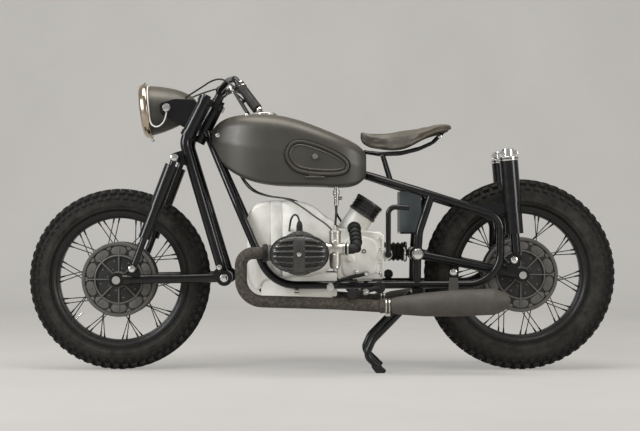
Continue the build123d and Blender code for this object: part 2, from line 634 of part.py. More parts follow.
def make_engine():
    low = outline([(-190, 258), (60, 258), (84, 276), (84, 325), (-205, 325), (-205, 276)], 10)
    case = outline([(-214, 330), (-214, 589), (-190, 595), (-72, 594), (-42, 584), (-14, 567), (20, 536),
                    (52, 524), (52, 330)], 30)
    crankcase = round_ends(slab(case, -crankcase_half_width, crankcase_half_width), 12)
    crankcase += slab(outline([(-214, 262), (52, 262), (52, 345), (-214, 345)], 8), -84, 84)
    crankcase += disc(-88, 280, 7, -124, 124) + disc(-88, 280, 13, -103, 103)
    for s, x in ((-1, cylinder_x), (1, cylinder_x + cylinder_stagger)):
        crankcase += disc(x, crank_z, 66, s * 80, s * (crankcase_half_width + 4))
    nodes["crankcase"] = crankcase
    cover = outline([(-214 - seat_gap, 280), (-250, 300), (-265, 340), (-265, 505), (-256, 544),
                     (-238, 572), (-214 - seat_gap, 588)], 26)
    nodes["front_engine_cover"] = round_ends(slab(cover, -86, 86), 8)
    sump = outline([(-190, 262 - seat_gap), (40, 262 - seat_gap), (30, 232), (-180, 232)], 8)
    nodes["oil_sump"] = slab(sump, -78, 78)
    box = outline([(52 + seat_gap, 322), (gearbox_rear_x, 322), (gearbox_rear_x, 470), (205, 487),
                   (150, 492), (60, 500), (52 + seat_gap, 500)], 10)
    gearbox = round_ends(slab(box, -82, 82), 6) + disc(150, 282, 7, -124, 124)
    gearbox += bar((gearbox_rear_x - 20, swingarm_y, crank_z), (gearbox_rear_x + 2, swingarm_y, crank_z), 25)
    gearbox += disc(kick_x - 6, kick_z, 22, -40, -82)
    gearbox += bar(filter_foot - filter_up * 84, filter_foot - filter_up * seat_gap, 46)
    for x, z, radius in ((98, 395, 13), (98, 376, 8), (118, 348, 7), (146, 420, 6)):    # bosses and plugs
        gearbox += disc(x, z, radius, -90, 90)
    gearbox += slab(outline([(134, 268), (166, 268), (176, 330), (124, 330)], 5), -60, 60)
    nodes["gearbox"] = gearbox
    cylinders = Part()
    heads = Part()
    covers = Part()
    carbs = Part()
    for s, x in ((-1, cylinder_x), (1, cylinder_x + cylinder_stagger)):
        foot_y = crankcase_half_width + 4 + seat_gap
        profile = [(0, s * foot_y), (bore_skirt_radius + 12, s * foot_y),
                   (bore_skirt_radius + 12, s * (foot_y + 6)), (bore_skirt_radius, s * (foot_y + 6))]
        pitch = (barrel_end_y - foot_y - 8) / fin_count
        for i in range(fin_count):
            y = foot_y + 8 + pitch * i
            profile += [(bore_skirt_radius, s * y), (fin_radius, s * (y + 0.6)),
                        (fin_radius, s * (y + fin_thickness)),
                        (bore_skirt_radius, s * (y + fin_thickness + 0.6))]
        profile += [(bore_skirt_radius, s * barrel_end_y), (0, s * barrel_end_y)]
        cylinders += turned(profile, x, crank_z)
        head_y = barrel_end_y + seat_gap
        core = slab(Pos(x, crank_z) * RectangleRounded(150, 104, 30), s * head_y, s * head_end_y)
        fin_pitch = (head_end_y - head_y) / 7
        for i in range(7):
            y = head_y + fin_pitch * i
            core += slab(Pos(x, crank_z) * RectangleRounded(head_length, head_height, 34), s * y,
                         s * (y + 3.4))
        core += slab(Pos(x, crank_z) * RectangleRounded(rocker_length, rocker_height, 36),
                     s * (head_end_y - 7), s * head_end_y)
        port_x = x - 107
        core += bar((port_x + 40, s * 250, crank_z + 3), (port_x, s * 250, crank_z + 3), 27)
        core += bar((x + 60, s * 236, crank_z + 16), (x + intake_stub, s * 236, crank_z + 16), 22)
        core -= bar((x + intake_stub, s * 236, crank_z + 16),
                    (x + intake_stub + 20, s * 236, crank_z + 16), 21)
        for bump in (-25, 25):
            core += disc(x + bump, crank_z + 60, 12, s * (head_end_y - 20), s * (head_end_y + 12))
        core += bar((x, s * plug_y, crank_z + 60), (x, s * plug_y, plug_z), 10)
        heads += core
        cover_y = head_end_y + seat_gap
        shape = slab(Pos(x, crank_z) * RectangleRounded(rocker_length, rocker_height, 40), s * cover_y,
                     s * (rocker_end_y - 10))
        for i in range(7):
            z = crank_z - 48 + 16 * i
            length = rocker_length - (46 if i in (0, 6) else 22 if i in (1, 5) else 12)
            shape += Pos(x, s * (cover_y + rocker_end_y) / 2, z) * Box(length, rocker_end_y - cover_y, 6)
        covers += shape - [disc(x + bump, crank_z + 60, 12 + seat_gap, s * head_end_y,
                                s * (head_end_y + 13)) for bump in (-25, 25)]
        carb_x = x + intake_stub + seat_gap
        carb = bar((carb_x, s * 236, crank_z + 16), (carb_x + carb_reach, s * 236, crank_z + 16), 20)
        carb += bar((carb_x + 24, s * 236, crank_z - 40), (carb_x + 24, s * 236, crank_z + 70), 19)
        carbs += carb
    nodes["cylinders"] = cylinders
    nodes["cylinder_heads"] = heads
    nodes["rocker_covers"] = covers
    nodes["carburettors"] = carbs


def make_intake():
    hoses = Part()
    for s, x in ((-1, cylinder_x), (1, cylinder_x + cylinder_stagger)):
        end = Vector(x + intake_stub + carb_reach + 2 * seat_gap, s * 236, crank_z + 16)
        route = [Vector(112, s * (82 + seat_gap), 500), Vector(112, s * 150, 500),
                 Vector(end.X + 48, s * 236, crank_z + 16), end]
        path = FilletPolyline(*route, radius=corner_radii(route, [40, 40], False))
        hoses += sweep(Plane(origin=path @ 0, z_dir=path % 0) * Circle(17), path=path)
        for share in hose_ribs:
            hoses += extrude(Plane(origin=path @ share, z_dir=path % share) * Circle(21), 2.5, both=True)
    nodes["intake_hoses"] = hoses
    nodes["air_filter"] = bar(filter_foot, filter_foot + filter_up * 60, 52)


def make_exhaust():
    pipes = Part()
    mufflers = Part()
    for s, x in ((-1, cylinder_x), (1, cylinder_x + cylinder_stagger)):
        port = x - 107 - seat_gap
        route = [Vector(port, s * 250, crank_z + 3), Vector(x - 199, s * 250, crank_z + 3),
                 Vector(x - 197, s * 248, 256), Vector(40, s * 215, 245), Vector(200, s * exhaust_y, 234.6),
                 Vector(235, s * exhaust_y, 236)]
        pipes += bent_tube(route, exhaust_radius, [75, 75, 300, 200])
        pipes += bar(route[0], route[0] + Vector(-16, 0, 0), 27)
        pipes += bar((196, s * exhaust_y, 234.8), (230, s * exhaust_y, 236), 24)
    for s in (-1, 1):
        start = Vector(235 + seat_gap, s * exhaust_y, 236)
        run = (Vector(600, s * exhaust_y, 251) - start).normalized()
        profile = [(0, 0), (24, 0), (30, 20), (40, 110), (muffler_radius, 210), (muffler_radius, 350),
                   (38, 372), (24, 402), (0, 402)]
        plane = Plane(origin=tuple(start), x_dir=(0, 1, 0), z_dir=tuple(run))
        body = plane.location * Rot(90, 0, 0) * revolve(outline(profile), Axis.Y)
        bracket = slab(outline([(436, 262), (474, 262), (470, 330), (440, 330)], 5),
                       s * (frame_half_width + 15), s * (frame_half_width + 21))
        tab = slab(outline([(436, 256), (474, 256), (474, 272), (436, 272)]), s * (frame_half_width + 15),
                   s * exhaust_y)
        mufflers += body + bracket + tab
    nodes["exhaust_pipes"] = pipes
    nodes["mufflers"] = mufflers


# Bodywork

def tank_section(x, low, high, half):
    top = min(half * 0.75, (high - low) * 0.55)
    points = [(half - 6, low), (half, (low + high) / 2), (half - 10, high), (-half + 10, high),
              (-half, (low + high) / 2), (-half + 6, low)]
    radii = [14, 60, top, top, 60, 14]
    plane = Plane(origin=(x, 0, 0), x_dir=(0, 1, 0), z_dir=(1, 0, 0))
    return plane * outline(points, radii)


def make_tank():
    stations = [(head_x - 8, 776, 846, 52), (head_x + 40, 716, 886, 84),
                (-237, 664, 901, tank_half_width - 16), (-100, 650, 884, tank_half_width),
                (40, 646, 832, tank_half_width), (124, 655, 791, tank_half_width - 24),
                (154, 684, 758, tank_half_width - 50)]
    tank = loft([tank_section(*row) for row in stations])
    tunnel = outline([(-420, 600), (-420, 868), (-405, 864), (120, 730), (170, 730), (170, 600)])
    tank -= slab(tunnel, -tunnel_half_width, tunnel_half_width)
    tank -= [downtube(s, frame_tube_radius + 4) for s in (-1, 1)]
    tank -= slab(outline([(20, 600), (20, 748), (60, 742), (170, 716), (170, 600)]), -70, 70)
    tank -= bar(steer(head_tube_low - 40, 0, 0), steer(head_tube_top + 30, 0, 0), head_tube_radius + 3)
    lid = outline([(-138, 760), (-95, 815), (5, 787), (79, 749), (99, 717), (76, 681), (-48, 684),
                   (-106, 703)], 24)
    tank -= slab(offset(lid, -lid_overlap), -tank_half_width - 10, -84)
    low, high = hinge_ends
    for start in (low - 13, high + 1):
        tank += along_x(start, start + 12, hinge_y, hinge_z, hinge_barrel_radius)
        tank += Pos(start + 6, hinge_y + 7, hinge_z) * Box(12, 14, 5)
    tank += along_x(low - 13, high + 13, hinge_y, hinge_z, hinge_pin_radius)
    nodes["fuel_tank"] = tank
    cap = Pos(-204, 0, 896) * Cylinder(43.5, 32)
    nodes["fuel_cap"] = cap - loft([tank_section(x, low, high + seat_gap, half) for x, low, high,
                                    half in stations])
    inner = loft([tank_section(x, low, high, half + 0.6) for x, low, high, half in stations])
    outer = loft([tank_section(x, low, high, half + 4.6) for x, low, high, half in stations])
    raised = loft([tank_section(x, low, high, half + 7.4) for x, low, high, half in stations])
    border = lid - offset(lid, -9) + Pos(-24, 749) * Circle(10)
    cover = ((slab(lid, -60, -200) & outer) + (slab(border, -60, -200) & raised)) - inner
    leaf = Pos((low + high) / 2, hinge_y + 2.2, hinge_z + 8) * Box(high - low, 3, 16)
    barrel = along_x(low, high, hinge_y, hinge_z, hinge_barrel_radius)
    nodes["toolbox_lid"] = cover + (leaf + barrel - along_x(low - 1, high + 1, hinge_y, hinge_z,
                                                            hinge_pin_radius + running_gap))


def make_seat():
    side = outline([(140, 812), (151, 839), (198, 836), (300, 848), (358, 853), (390, 864), (447, 865),
                    (451, 840), (415, 834), (372, 826), (345, 806), (326, 796), (286, 781), (230, 778),
                    (178, 785)], 8)
    plan = outline([(130, -30), (130, 30), (240, 62), (330, 134), (430, 142), (458, 100), (458, -100),
                    (430, -142), (330, -134), (240, -62)], 16)
    nodes["seat"] = slab(side, -150, 150) & extrude(plan, 1000)
    seat_frame = bar((152, -24, 770), (152, 24, 770), 7) + bar((214, -52, 762), (214, 52, 762), 6)
    for s in (-1, 1):
        y = s * 62
        leaf = bent_tube([Vector(152, s * 20, 770), Vector(205, s * 48, 763), Vector(280, y, 766),
                          Vector(345, y, 782), Vector(392, y, 803), Vector(424, y, 836)], 6,
                          [40, 80, 80, 40])
        rear, front = seat_rail(s)
        strut = bar((214, s * 52, 762), rear + (front - rear) * 0.53, 6) - bar(rear, front,
                                                                               frame_tube_radius + seat_gap)
        seat_frame += leaf + strut.solids().sort_by(Axis.Z)[-1]
    nodes["seat_frame"] = seat_frame - nodes["seat"] - nodes["fuel_tank"]


def make_fittings():
    nodes["battery_box"] = Pos(battery_x, 0, 558 + seat_gap) * Box(76, 150, 142)
    pegs = Part()
    for s in (-1, 1):
        pegs += disc(198, 296, 20, s * (frame_half_width + frame_tube_radius + seat_gap), s * 152)
        pegs += bent_tube([Vector(198, s * 144, 296), Vector(120, s * 160, 279),
                           Vector(102, s * 192, 279)], 9, 20)
        pegs += bar((102, s * 186, 279), (102, s * 258, 279), 14)
    nodes["footpegs"] = pegs
    lever = disc(153, 345, 8, -82 - seat_gap, -148)
    lever += bent_tube([Vector(153, -142, 345), Vector(70, -160, 325), Vector(28, -162, 300)], 7, 40)
    lever += bar((28, -158, 300), (28, -208, 300), 11)
    nodes["gear_lever"] = lever
    kick = disc(kick_x, kick_z, 12, -82 - seat_gap, -140)
    kick += bent_tube([Vector(kick_x, -132, kick_z), Vector(kick_x, -134, 575),
                       Vector(kick_x + 71, -150, 572)], 9, 24)
    nodes["kick_starter"] = kick
    brake = disc(brake_x, brake_z, 10, 98, 144) + disc(brake_x, brake_z, 14, 113 + seat_gap, 119)
    brake += bent_tube([Vector(brake_x, 138, brake_z), Vector(120, 150, 324), Vector(60, 170, 326)], 8, 40)
    brake += bar((60, 165, 326), (60, 215, 326), 12)
    nodes["brake_pedal"] = brake
    taps = Part()
    for s in (-1, 1):
        taps += bar((tap_x, s * tap_y, tap_foot), (tap_x, s * tap_y, 652), 7)
        taps += bar((tap_x, s * tap_y, 618), (tap_x, s * tap_y, 634), 11)
        taps += bar((tap_x, s * tap_y, 606), (tap_x + 20, s * tap_y, 606), 5)
    nodes["fuel_taps"] = taps - nodes["fuel_tank"]


# Cables, hoses and wires: the points of each route are chosen by hand

def cord(name, points, diameter, ends):
    """A tube of straight runs and arcs as large as the runs allow, cut off at what it goes into."""
    points = [Vector(*p) for p in points]
    radii = []
    for before, corner, after in zip(points, points[1:], points[2:]):
        turn = math.radians((corner - before).get_angle(after - corner))
        radii.append(0.45 * min((corner - before).length, (after - corner).length) / math.tan(turn / 2))
    path = FilletPolyline(*points, radius=radii)
    tube = sweep(Plane(origin=path @ 0, z_dir=path % 0) * Circle(diameter / 2), path=path)
    section = math.pi * diameter ** 2 / 4
    ratio = tube.volume / section / path.length
    print(name, "radii", [round(r) for r in radii], "length", round(path.length), "volume ratio",
          round(ratio, 3))
    nodes[name] = tube - [nodes[end] for end in ends]


def make_cords():
    for side, s, x in (("left", -1, cylinder_x), ("right", 1, cylinder_x + cylinder_stagger)):
        carb_x = x + intake_stub + seat_gap + 24
        further = (x - cylinder_x) / 7      # the right carburettor sits further back
        throttle = [(-292, 58, 694), (-266, 72, 640), (-198, 92, 612), (-124, 134, 606), (-68, 160, 574),
                    (-24, 192, 540), (23, 222, 510), (43, 236, 481)]
        cord("throttle_cable_" + side,
             [(px + further * n, s * py, pz) for n, (px, py, pz) in enumerate(throttle)], 6,
             ["fuel_tank", "carburettors"])
        cord("fuel_hose_" + side, [(tap_x, s * tap_y, tap_foot + 2), (tap_x - 1, s * 108, 556),
                                   (carb_x + (tap_x - carb_x) * 0.5, s * 142, 530),
                                   (carb_x + 1, s * 184, 505), (carb_x, s * 221, 476)], 8,
                                   ["fuel_taps", "carburettors"])
        cord("plug_lead_" + side,
             [(x, s * plug_y, plug_z - 4), (x - 2, s * 243, plug_z + 18), (x - 12, s * 225, plug_z + 30),
              (x - 24, s * 195, plug_z + 26), (x - 32, s * 162, plug_z + 8), (x - 36, s * 128, plug_z - 14),
              (x - 38, s * 92, plug_z - 28)], 7, ["cylinder_heads", "crankcase"])
    for name, s in (("clutch_cable", -1), ("front_brake_cable", 1)):
        cord(name, [(-292, s * 274, 974), (-318, s * 246, 998), (-350, s * 202, 1013),
                    (-384, s * 152, 1009), (-416, s * 104, 994), (-452, s * 64, 977),
                    (-484, s * 34, 960)], 6, ["control_levers", "headlight_shell"])
    cord("headlight_wire", [(-542, -103.5, 908), (-545, -105, 882), (-562, -103, 858), (-583, -97, 853),
                            (-600, -86, 866), (-604, -90, 892), (-606, -94, 918), (-609, -91, 944),
                            (-612, -81, 967), (-614, -63, 988), (-615, -42, 1002), (-614, -22, 1000)], 5,
                            ["headlight_ears", "headlight_shell"])


make_wheels()
make_yokes()
make_fork()
make_headlight()
make_handlebar()
make_frame()
make_rear_suspension()
make_stand()
make_engine()
make_intake()
make_exhaust()
make_tank()
make_seat()
make_fittings()
make_cords()

for name, shape in nodes.items():
    export_step(shape, f"parts/{name}.step")
    print(name, len(shape.solids()), round(shape.volume / 1000, 1), "cm3")
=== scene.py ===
import json
import math

import bmesh
import bpy
from mathutils import Matrix, Vector
from mathutils.bvhtree import BVHTree


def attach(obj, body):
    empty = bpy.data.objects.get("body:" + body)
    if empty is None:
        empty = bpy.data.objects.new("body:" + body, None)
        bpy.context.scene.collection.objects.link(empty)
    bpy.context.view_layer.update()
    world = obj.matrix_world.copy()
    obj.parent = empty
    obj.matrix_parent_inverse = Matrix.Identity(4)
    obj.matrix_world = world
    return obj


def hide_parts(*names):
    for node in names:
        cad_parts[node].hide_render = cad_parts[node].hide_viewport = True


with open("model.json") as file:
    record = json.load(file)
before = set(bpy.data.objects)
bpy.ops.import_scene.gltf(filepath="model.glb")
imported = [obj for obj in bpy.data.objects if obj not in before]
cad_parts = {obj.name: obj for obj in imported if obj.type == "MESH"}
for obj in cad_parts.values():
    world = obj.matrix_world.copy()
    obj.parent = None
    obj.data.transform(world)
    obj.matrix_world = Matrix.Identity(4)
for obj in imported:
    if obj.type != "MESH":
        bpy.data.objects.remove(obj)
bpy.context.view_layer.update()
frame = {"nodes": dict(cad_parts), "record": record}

nodes = frame["nodes"]
print("frame loaded:", len(nodes), "nodes")

# Finishes


def newMaterial(name, sockets):
    mat = bpy.data.materials.new(name)
    mat.use_nodes = True
    shader = mat.node_tree.nodes["Principled BSDF"]
    for socket, value in sockets.items():
        shader.inputs[socket].default_value = value
    return mat, mat.node_tree, shader


def objectCoords(tree, centre=(0, 0, 0), stretch=(1, 1, 1)):
    coords = tree.nodes.new("ShaderNodeTexCoord")
    mapping = tree.nodes.new("ShaderNodeMapping")
    mapping.inputs["Location"].default_value = [-c * s for c, s in zip(centre, stretch)]
    mapping.inputs["Scale"].default_value = stretch
    tree.links.new(coords.outputs["Object"], mapping.inputs["Vector"])
    return mapping.outputs["Vector"]


def noise(tree, scale, detail=3, roughness=0.55):
    tex = tree.nodes.new("ShaderNodeTexNoise")
    tex.inputs["Scale"].default_value = scale
    tex.inputs["Detail"].default_value = detail
    tex.inputs["Roughness"].default_value = roughness
    tree.links.new(objectCoords(tree), tex.inputs["Vector"])
    return tex.outputs["Fac"]


def ramp(tree, factor, stops):
    node = tree.nodes.new("ShaderNodeValToRGB")
    elements = node.color_ramp.elements
    while len(elements) < len(stops):
        elements.new(0.5)
    for element, (place, value) in zip(elements, stops):
        element.position = place
        element.color = (*value, 1) if hasattr(value, "__len__") else (value, value, value, 1)
    tree.links.new(factor, node.inputs["Fac"])
    return node.outputs["Color"]


def mixColour(tree, factor, a, b):
    node = tree.nodes.new("ShaderNodeMix")
    node.data_type = "RGBA"
    for socket, value in ((0, factor), (6, a), (7, b)):
        if hasattr(value, "is_linked"):
            tree.links.new(value, node.inputs[socket])
        elif socket:
            node.inputs[socket].default_value = (*value, 1)
        else:
            node.inputs[socket].default_value = value
    return node.outputs[2]


def maths(tree, operation, a, b=0.0):
    node = tree.nodes.new("ShaderNodeMath")
    node.operation = operation
    for socket, value in ((0, a), (1, b)):
        if hasattr(value, "is_linked"):
            tree.links.new(value, node.inputs[socket])
        else:
            node.inputs[socket].default_value = value
    return node.outputs[0]


def addBump(tree, shader, height, strength, distance):
    bump = tree.nodes.new("ShaderNodeBump")
    bump.inputs["Strength"].default_value = strength
    bump.inputs["Distance"].default_value = distance
    tree.links.new(height, bump.inputs["Height"])
    if shader.inputs["Normal"].is_linked:
        tree.links.new(shader.inputs["Normal"].links[0].from_socket, bump.inputs["Normal"])
    tree.links.new(bump.outputs["Normal"], shader.inputs["Normal"])


def upFacing(tree, low, high):
    # how far a surface faces the sky, for dust, the saddle's worn tops and the painted sheen on the tank
    # paint's tops
    geo = tree.nodes.new("ShaderNodeNewGeometry")
    split = tree.nodes.new("ShaderNodeSeparateXYZ")
    tree.links.new(geo.outputs["Normal"], split.inputs[0])
    return ramp(tree, split.outputs["Z"], [(low, 0.0), (high, 1.0)])


def paintedFinish(name, look):
    sockets = {"Metallic": look.get("metal", 0.0), "Coat Weight": look.get("coat", 0.0),
               "Coat Roughness": look.get("coatRoughness", 0.1),
               "Specular IOR Level": look.get("specular", 0.5)}
    mat, tree, shader = newMaterial(name, sockets)
    patches = noise(tree, look["patchScale"], 5, 0.6)
    colour = ramp(tree, patches, [(0.35, look["colour"]), (0.68, look["patch"])])
    if "edge" in look:
        geo = tree.nodes.new("ShaderNodeNewGeometry")
        worn = ramp(tree, geo.outputs["Pointiness"], [(0.515, 0.0), (0.56, 1.0)])
        colour = mixColour(tree, worn, colour, look["edge"])
    # upward faces turn toward this colour: dust on the black finishes, and on the tank paint a painted warm
    # sheen of the top light
    if "dustAndTankSheen" in look:
        dustAndTankSheen = maths(tree, "MULTIPLY", upFacing(tree, 0.35, 0.98), noise(tree, 40, 4))
        colour = mixColour(tree, dustAndTankSheen, colour, look["dustAndTankSheen"])
    tree.links.new(colour, shader.inputs["Base Color"])
    low, high = look["roughness"]
    tree.links.new(ramp(tree, noise(tree, 35, 4), [(0.3, low), (0.75, high)]), shader.inputs["Roughness"])
    addBump(tree, shader, noise(tree, look["grainScale"], 2), look["grain"], look.get("grainDepth", 0.0004))
    return mat


finishLooks = {
    "frameGloss": {"colour": (0.004, 0.004, 0.0045), "patch": (0.007, 0.007, 0.007), "patchScale": 14,
                   "roughness": (0.16, 0.30), "grainScale": 90, "grain": 0.05, "coat": 0.22,
                   "coatRoughness": 0.06, "specular": 0.32},
    "satinBlack": {"colour": (0.009, 0.009, 0.009), "patch": (0.015, 0.0145, 0.014), "patchScale": 26,
                   "roughness": (0.30, 0.48), "grainScale": 700, "grain": 0.12,
                   "dustAndTankSheen": (0.045, 0.042, 0.036), "specular": 0.35},
    "spokeBlack": {"colour": (0.012, 0.012, 0.012), "patch": (0.020, 0.019, 0.018), "patchScale": 60,
                   "roughness": (0.55, 0.7), "grainScale": 900, "grain": 0.1, "specular": 0.2},
    "castBlack": {"specular": 0.35, "colour": (0.014, 0.0145, 0.015), "patch": (0.026, 0.0255, 0.024),
                  "patchScale": 30, "roughness": (0.42, 0.62), "grainScale": 900, "grain": 0.35,
                  "grainDepth": 0.0006, "dustAndTankSheen": (0.075, 0.070, 0.062), "edge": (0.12, 0.115, 0.105)},
    "coverBlack": {"colour": (0.012, 0.012, 0.012), "patch": (0.020, 0.020, 0.019), "patchScale": 30,
                   "roughness": (0.20, 0.36), "grainScale": 500, "grain": 0.18, "grainDepth": 0.0005,
                   "edge": (0.055, 0.053, 0.050), "coat": 0.3, "specular": 0.35},
    # bare metal for the rib crests, set only on their upward faces, so it is also a painted highlight
    "wornEdgeAndHighlight": {"colour": (0.40, 0.39, 0.36), "patch": (0.10, 0.098, 0.09), "patchScale": 90,
                 "roughness": (0.22, 0.45), "grainScale": 800, "grain": 0.2, "metal": 0.8},
    # the tank paint's light tan on upward faces is mostly a painted sheen of the top light, with a little
    # dust
    "tankPaint": {"colour": (0.052, 0.049, 0.041), "patch": (0.064, 0.060, 0.050), "patchScale": 7,
                  "roughness": (0.36, 0.46), "grainScale": 1500, "grain": 0.05, "metal": 0.25, "coat": 0.12,
                  "coatRoughness": 0.35, "dustAndTankSheen": (0.125, 0.112, 0.086)},
    "blastedAlloy": {"colour": (0.92, 0.91, 0.855), "patch": (0.76, 0.75, 0.69), "patchScale": 13,
                     "roughness": (0.40, 0.58), "grainScale": 1300, "grain": 0.30, "grainDepth": 0.0004,
                     "metal": 0.10},
    "polished": {"colour": (0.86, 0.85, 0.83), "patch": (0.74, 0.73, 0.70), "patchScale": 40,
                 "roughness": (0.07, 0.20), "grainScale": 260, "grain": 0.04, "metal": 1.0},
    "satinAlloy": {"colour": (0.66, 0.64, 0.59), "patch": (0.50, 0.485, 0.44), "patchScale": 45,
                   "roughness": (0.24, 0.42), "grainScale": 700, "grain": 0.15, "metal": 0.85},
    "steel": {"colour": (0.52, 0.51, 0.49), "patch": (0.38, 0.37, 0.35), "patchScale": 50,
              "roughness": (0.22, 0.40), "grainScale": 600, "grain": 0.12, "metal": 1.0},
    "brassRim": {"colour": (0.60, 0.50, 0.38), "patch": (0.46, 0.38, 0.29), "patchScale": 18,
                 "roughness": (0.10, 0.28), "grainScale": 200, "grain": 0.05, "metal": 1.0},
    "muffler": {"colour": (0.052, 0.047, 0.040), "patch": (0.075, 0.068, 0.058), "patchScale": 22,
                "roughness": (0.58, 0.78), "grainScale": 1100, "grain": 0.3},
    "softRubber": {"specular": 0.35, "colour": (0.010, 0.010, 0.010), "patch": (0.018, 0.0175, 0.017),
                   "patchScale": 34, "roughness": (0.52, 0.72), "grainScale": 800, "grain": 0.2},
    "batteryGrey": {"colour": (0.070, 0.085, 0.088), "patch": (0.054, 0.064, 0.067), "patchScale": 12,
                    "roughness": (0.40, 0.55), "grainScale": 700, "grain": 0.12},
    "stitch": {"colour": (0.20, 0.165, 0.11), "patch": (0.14, 0.115, 0.08), "patchScale": 200,
               "roughness": (0.6, 0.8), "grainScale": 900, "grain": 0.2},
    "cableBlack": {"colour": (0.014, 0.014, 0.014), "patch": (0.022, 0.021, 0.020), "patchScale": 60,
                   "roughness": (0.34, 0.5), "grainScale": 900, "grain": 0.1},
    "paleCoat": {"colour": (0.70, 0.69, 0.65), "patch": (0.58, 0.57, 0.53), "patchScale": 60,
                 "roughness": (0.25, 0.42), "grainScale": 500, "grain": 0.1},
}
finish = {name: paintedFinish(name, look) for name, look in finishLooks.items()}


def tyreRubber(name, centre, sidewall):
    # dark knobs, a dusty band on the sidewall between the two radii
    look = {"rubber": (0.011, 0.011, 0.0105), "worn": (0.021, 0.0205, 0.0185), "dustAndTankSheen": (0.062, 0.058, 0.048)}
    mat, tree, shader = newMaterial(name, {"Specular IOR Level": 0.16})
    length = tree.nodes.new("ShaderNodeVectorMath")
    length.operation = "LENGTH"
    tree.links.new(objectCoords(tree, centre, (1, 0, 1)), length.inputs[0])
    band = ramp(tree, length.outputs["Value"], [(sidewall[0], 0.25), (sidewall[0] + 0.012, 1.0),
                                                (sidewall[1] - 0.012, 0.8), (sidewall[1], 0.15)])
    dusty = maths(tree, "MULTIPLY", band, ramp(tree, noise(tree, 26, 6, 0.65), [(0.36, 0.05), (0.66, 0.62)]))
    worn = ramp(tree, noise(tree, 160, 3), [(0.4, look["rubber"]), (0.7, look["worn"])])
    tree.links.new(mixColour(tree, dusty, worn, look["dustAndTankSheen"]), shader.inputs["Base Color"])
    tree.links.new(ramp(tree, noise(tree, 60, 3), [(0.3, 0.62), (0.7, 0.82)]), shader.inputs["Roughness"])
    addBump(tree, shader, noise(tree, 750, 3, 0.6), 0.35, 0.0006)
    return mat


def lampGlass():
    look = {"tint": (0.96, 0.98, 0.97, 1), "roughness": 0.03, "flutes": 38}
    mat, tree, shader = newMaterial("lampGlass", {"Transmission Weight": 1.0, "IOR": 1.45,
                                                  "Roughness": look["roughness"],
                                                  "Base Color": look["tint"]})
    wave = tree.nodes.new("ShaderNodeTexWave")
    wave.bands_direction = "Y"
    wave.inputs["Scale"].default_value = look["flutes"]
    tree.links.new(objectCoords(tree), wave.inputs["Vector"])
    addBump(tree, shader, wave.outputs["Fac"], 0.4, 0.0008)
    return mat


def wrapCloth():
    # bandage wound round the pipe: slanting bands, coarse weave and soot
    mat, tree, shader = newMaterial("wrapCloth", {"Specular IOR Level": 0.25})
    wave = tree.nodes.new("ShaderNodeTexWave")
    wave.bands_direction = "DIAGONAL"
    wave.wave_profile = "SAW"
    wave.inputs["Scale"].default_value = 9.5
    wave.inputs["Distortion"].default_value = 1.5
    wave.inputs["Detail Scale"].default_value = 2.0
    tree.links.new(objectCoords(tree, (0, 0, 0), (1, 0, 1)), wave.inputs["Vector"])
    mottle = ramp(tree, noise(tree, 95, 6, 0.7), [(0.34, (0.030, 0.026, 0.021)),
                                                  (0.52, (0.072, 0.064, 0.053)),
                                                  (0.72, (0.15, 0.135, 0.112))])
    tree.links.new(mixColour(tree, maths(tree, "MULTIPLY", wave.outputs["Fac"], 0.35), mottle,
                             (0.035, 0.031, 0.026)), shader.inputs["Base Color"])
    tree.links.new(ramp(tree, noise(tree, 40, 3), [(0.3, 0.72), (0.7, 0.92)]), shader.inputs["Roughness"])
    addBump(tree, shader, wave.outputs["Fac"], 0.55, 0.0012)
    addBump(tree, shader, noise(tree, 420, 4, 0.7), 0.7, 0.0010)
    return mat


def saddleLeather():
    # worn olive brown hide: tan where it is sat on, dark at the skirt, with creases and fine grain
    mat, tree, shader = newMaterial("saddleLeather", {"Coat Weight": 0.12, "Coat Roughness": 0.35})
    hide = ramp(tree, noise(tree, 18, 5, 0.6), [(0.35, (0.030, 0.025, 0.016)), (0.62, (0.062, 0.050, 0.031))])
    worn = maths(tree, "MULTIPLY", upFacing(tree, 0.25, 0.92),
                 ramp(tree, noise(tree, 9, 4), [(0.3, 0.55), (0.7, 1.0)]))
    tree.links.new(mixColour(tree, worn, hide, (0.115, 0.108, 0.080)), shader.inputs["Base Color"])
    tree.links.new(ramp(tree, noise(tree, 30, 4), [(0.3, 0.38), (0.75, 0.58)]), shader.inputs["Roughness"])
    cells = tree.nodes.new("ShaderNodeTexVoronoi")
    cells.inputs["Scale"].default_value = 520
    tree.links.new(objectCoords(tree), cells.inputs["Vector"])
    addBump(tree, shader, cells.outputs["Distance"], 0.25, 0.0004)
    addBump(tree, shader, noise(tree, 55, 5, 0.65), 0.35, 0.0012)
    return mat


finish["wrapCloth"] = wrapCloth()
finish["saddleLeather"] = saddleLeather()
finish["lampGlass"] = lampGlass()
print("finishes made:", len(finish))

# The camera, then the cables, hoses and the lamp's wire

photoView = {"place": (-0.0076, -5.2, 0.545), "lens": 82.3, "sensor": 36, "clipEnd": 60}
cameraData = bpy.data.cameras.new("photoCamera")
cameraData.sensor_width = photoView["sensor"]
cameraData.lens = photoView["lens"]
cameraData.clip_end = photoView["clipEnd"]
camera = bpy.data.objects.new("photoCamera", cameraData)
camera.location = photoView["place"]
camera.rotation_euler = (math.radians(90), 0, 0)
bpy.context.scene.collection.objects.link(camera)
bpy.context.scene.camera = camera

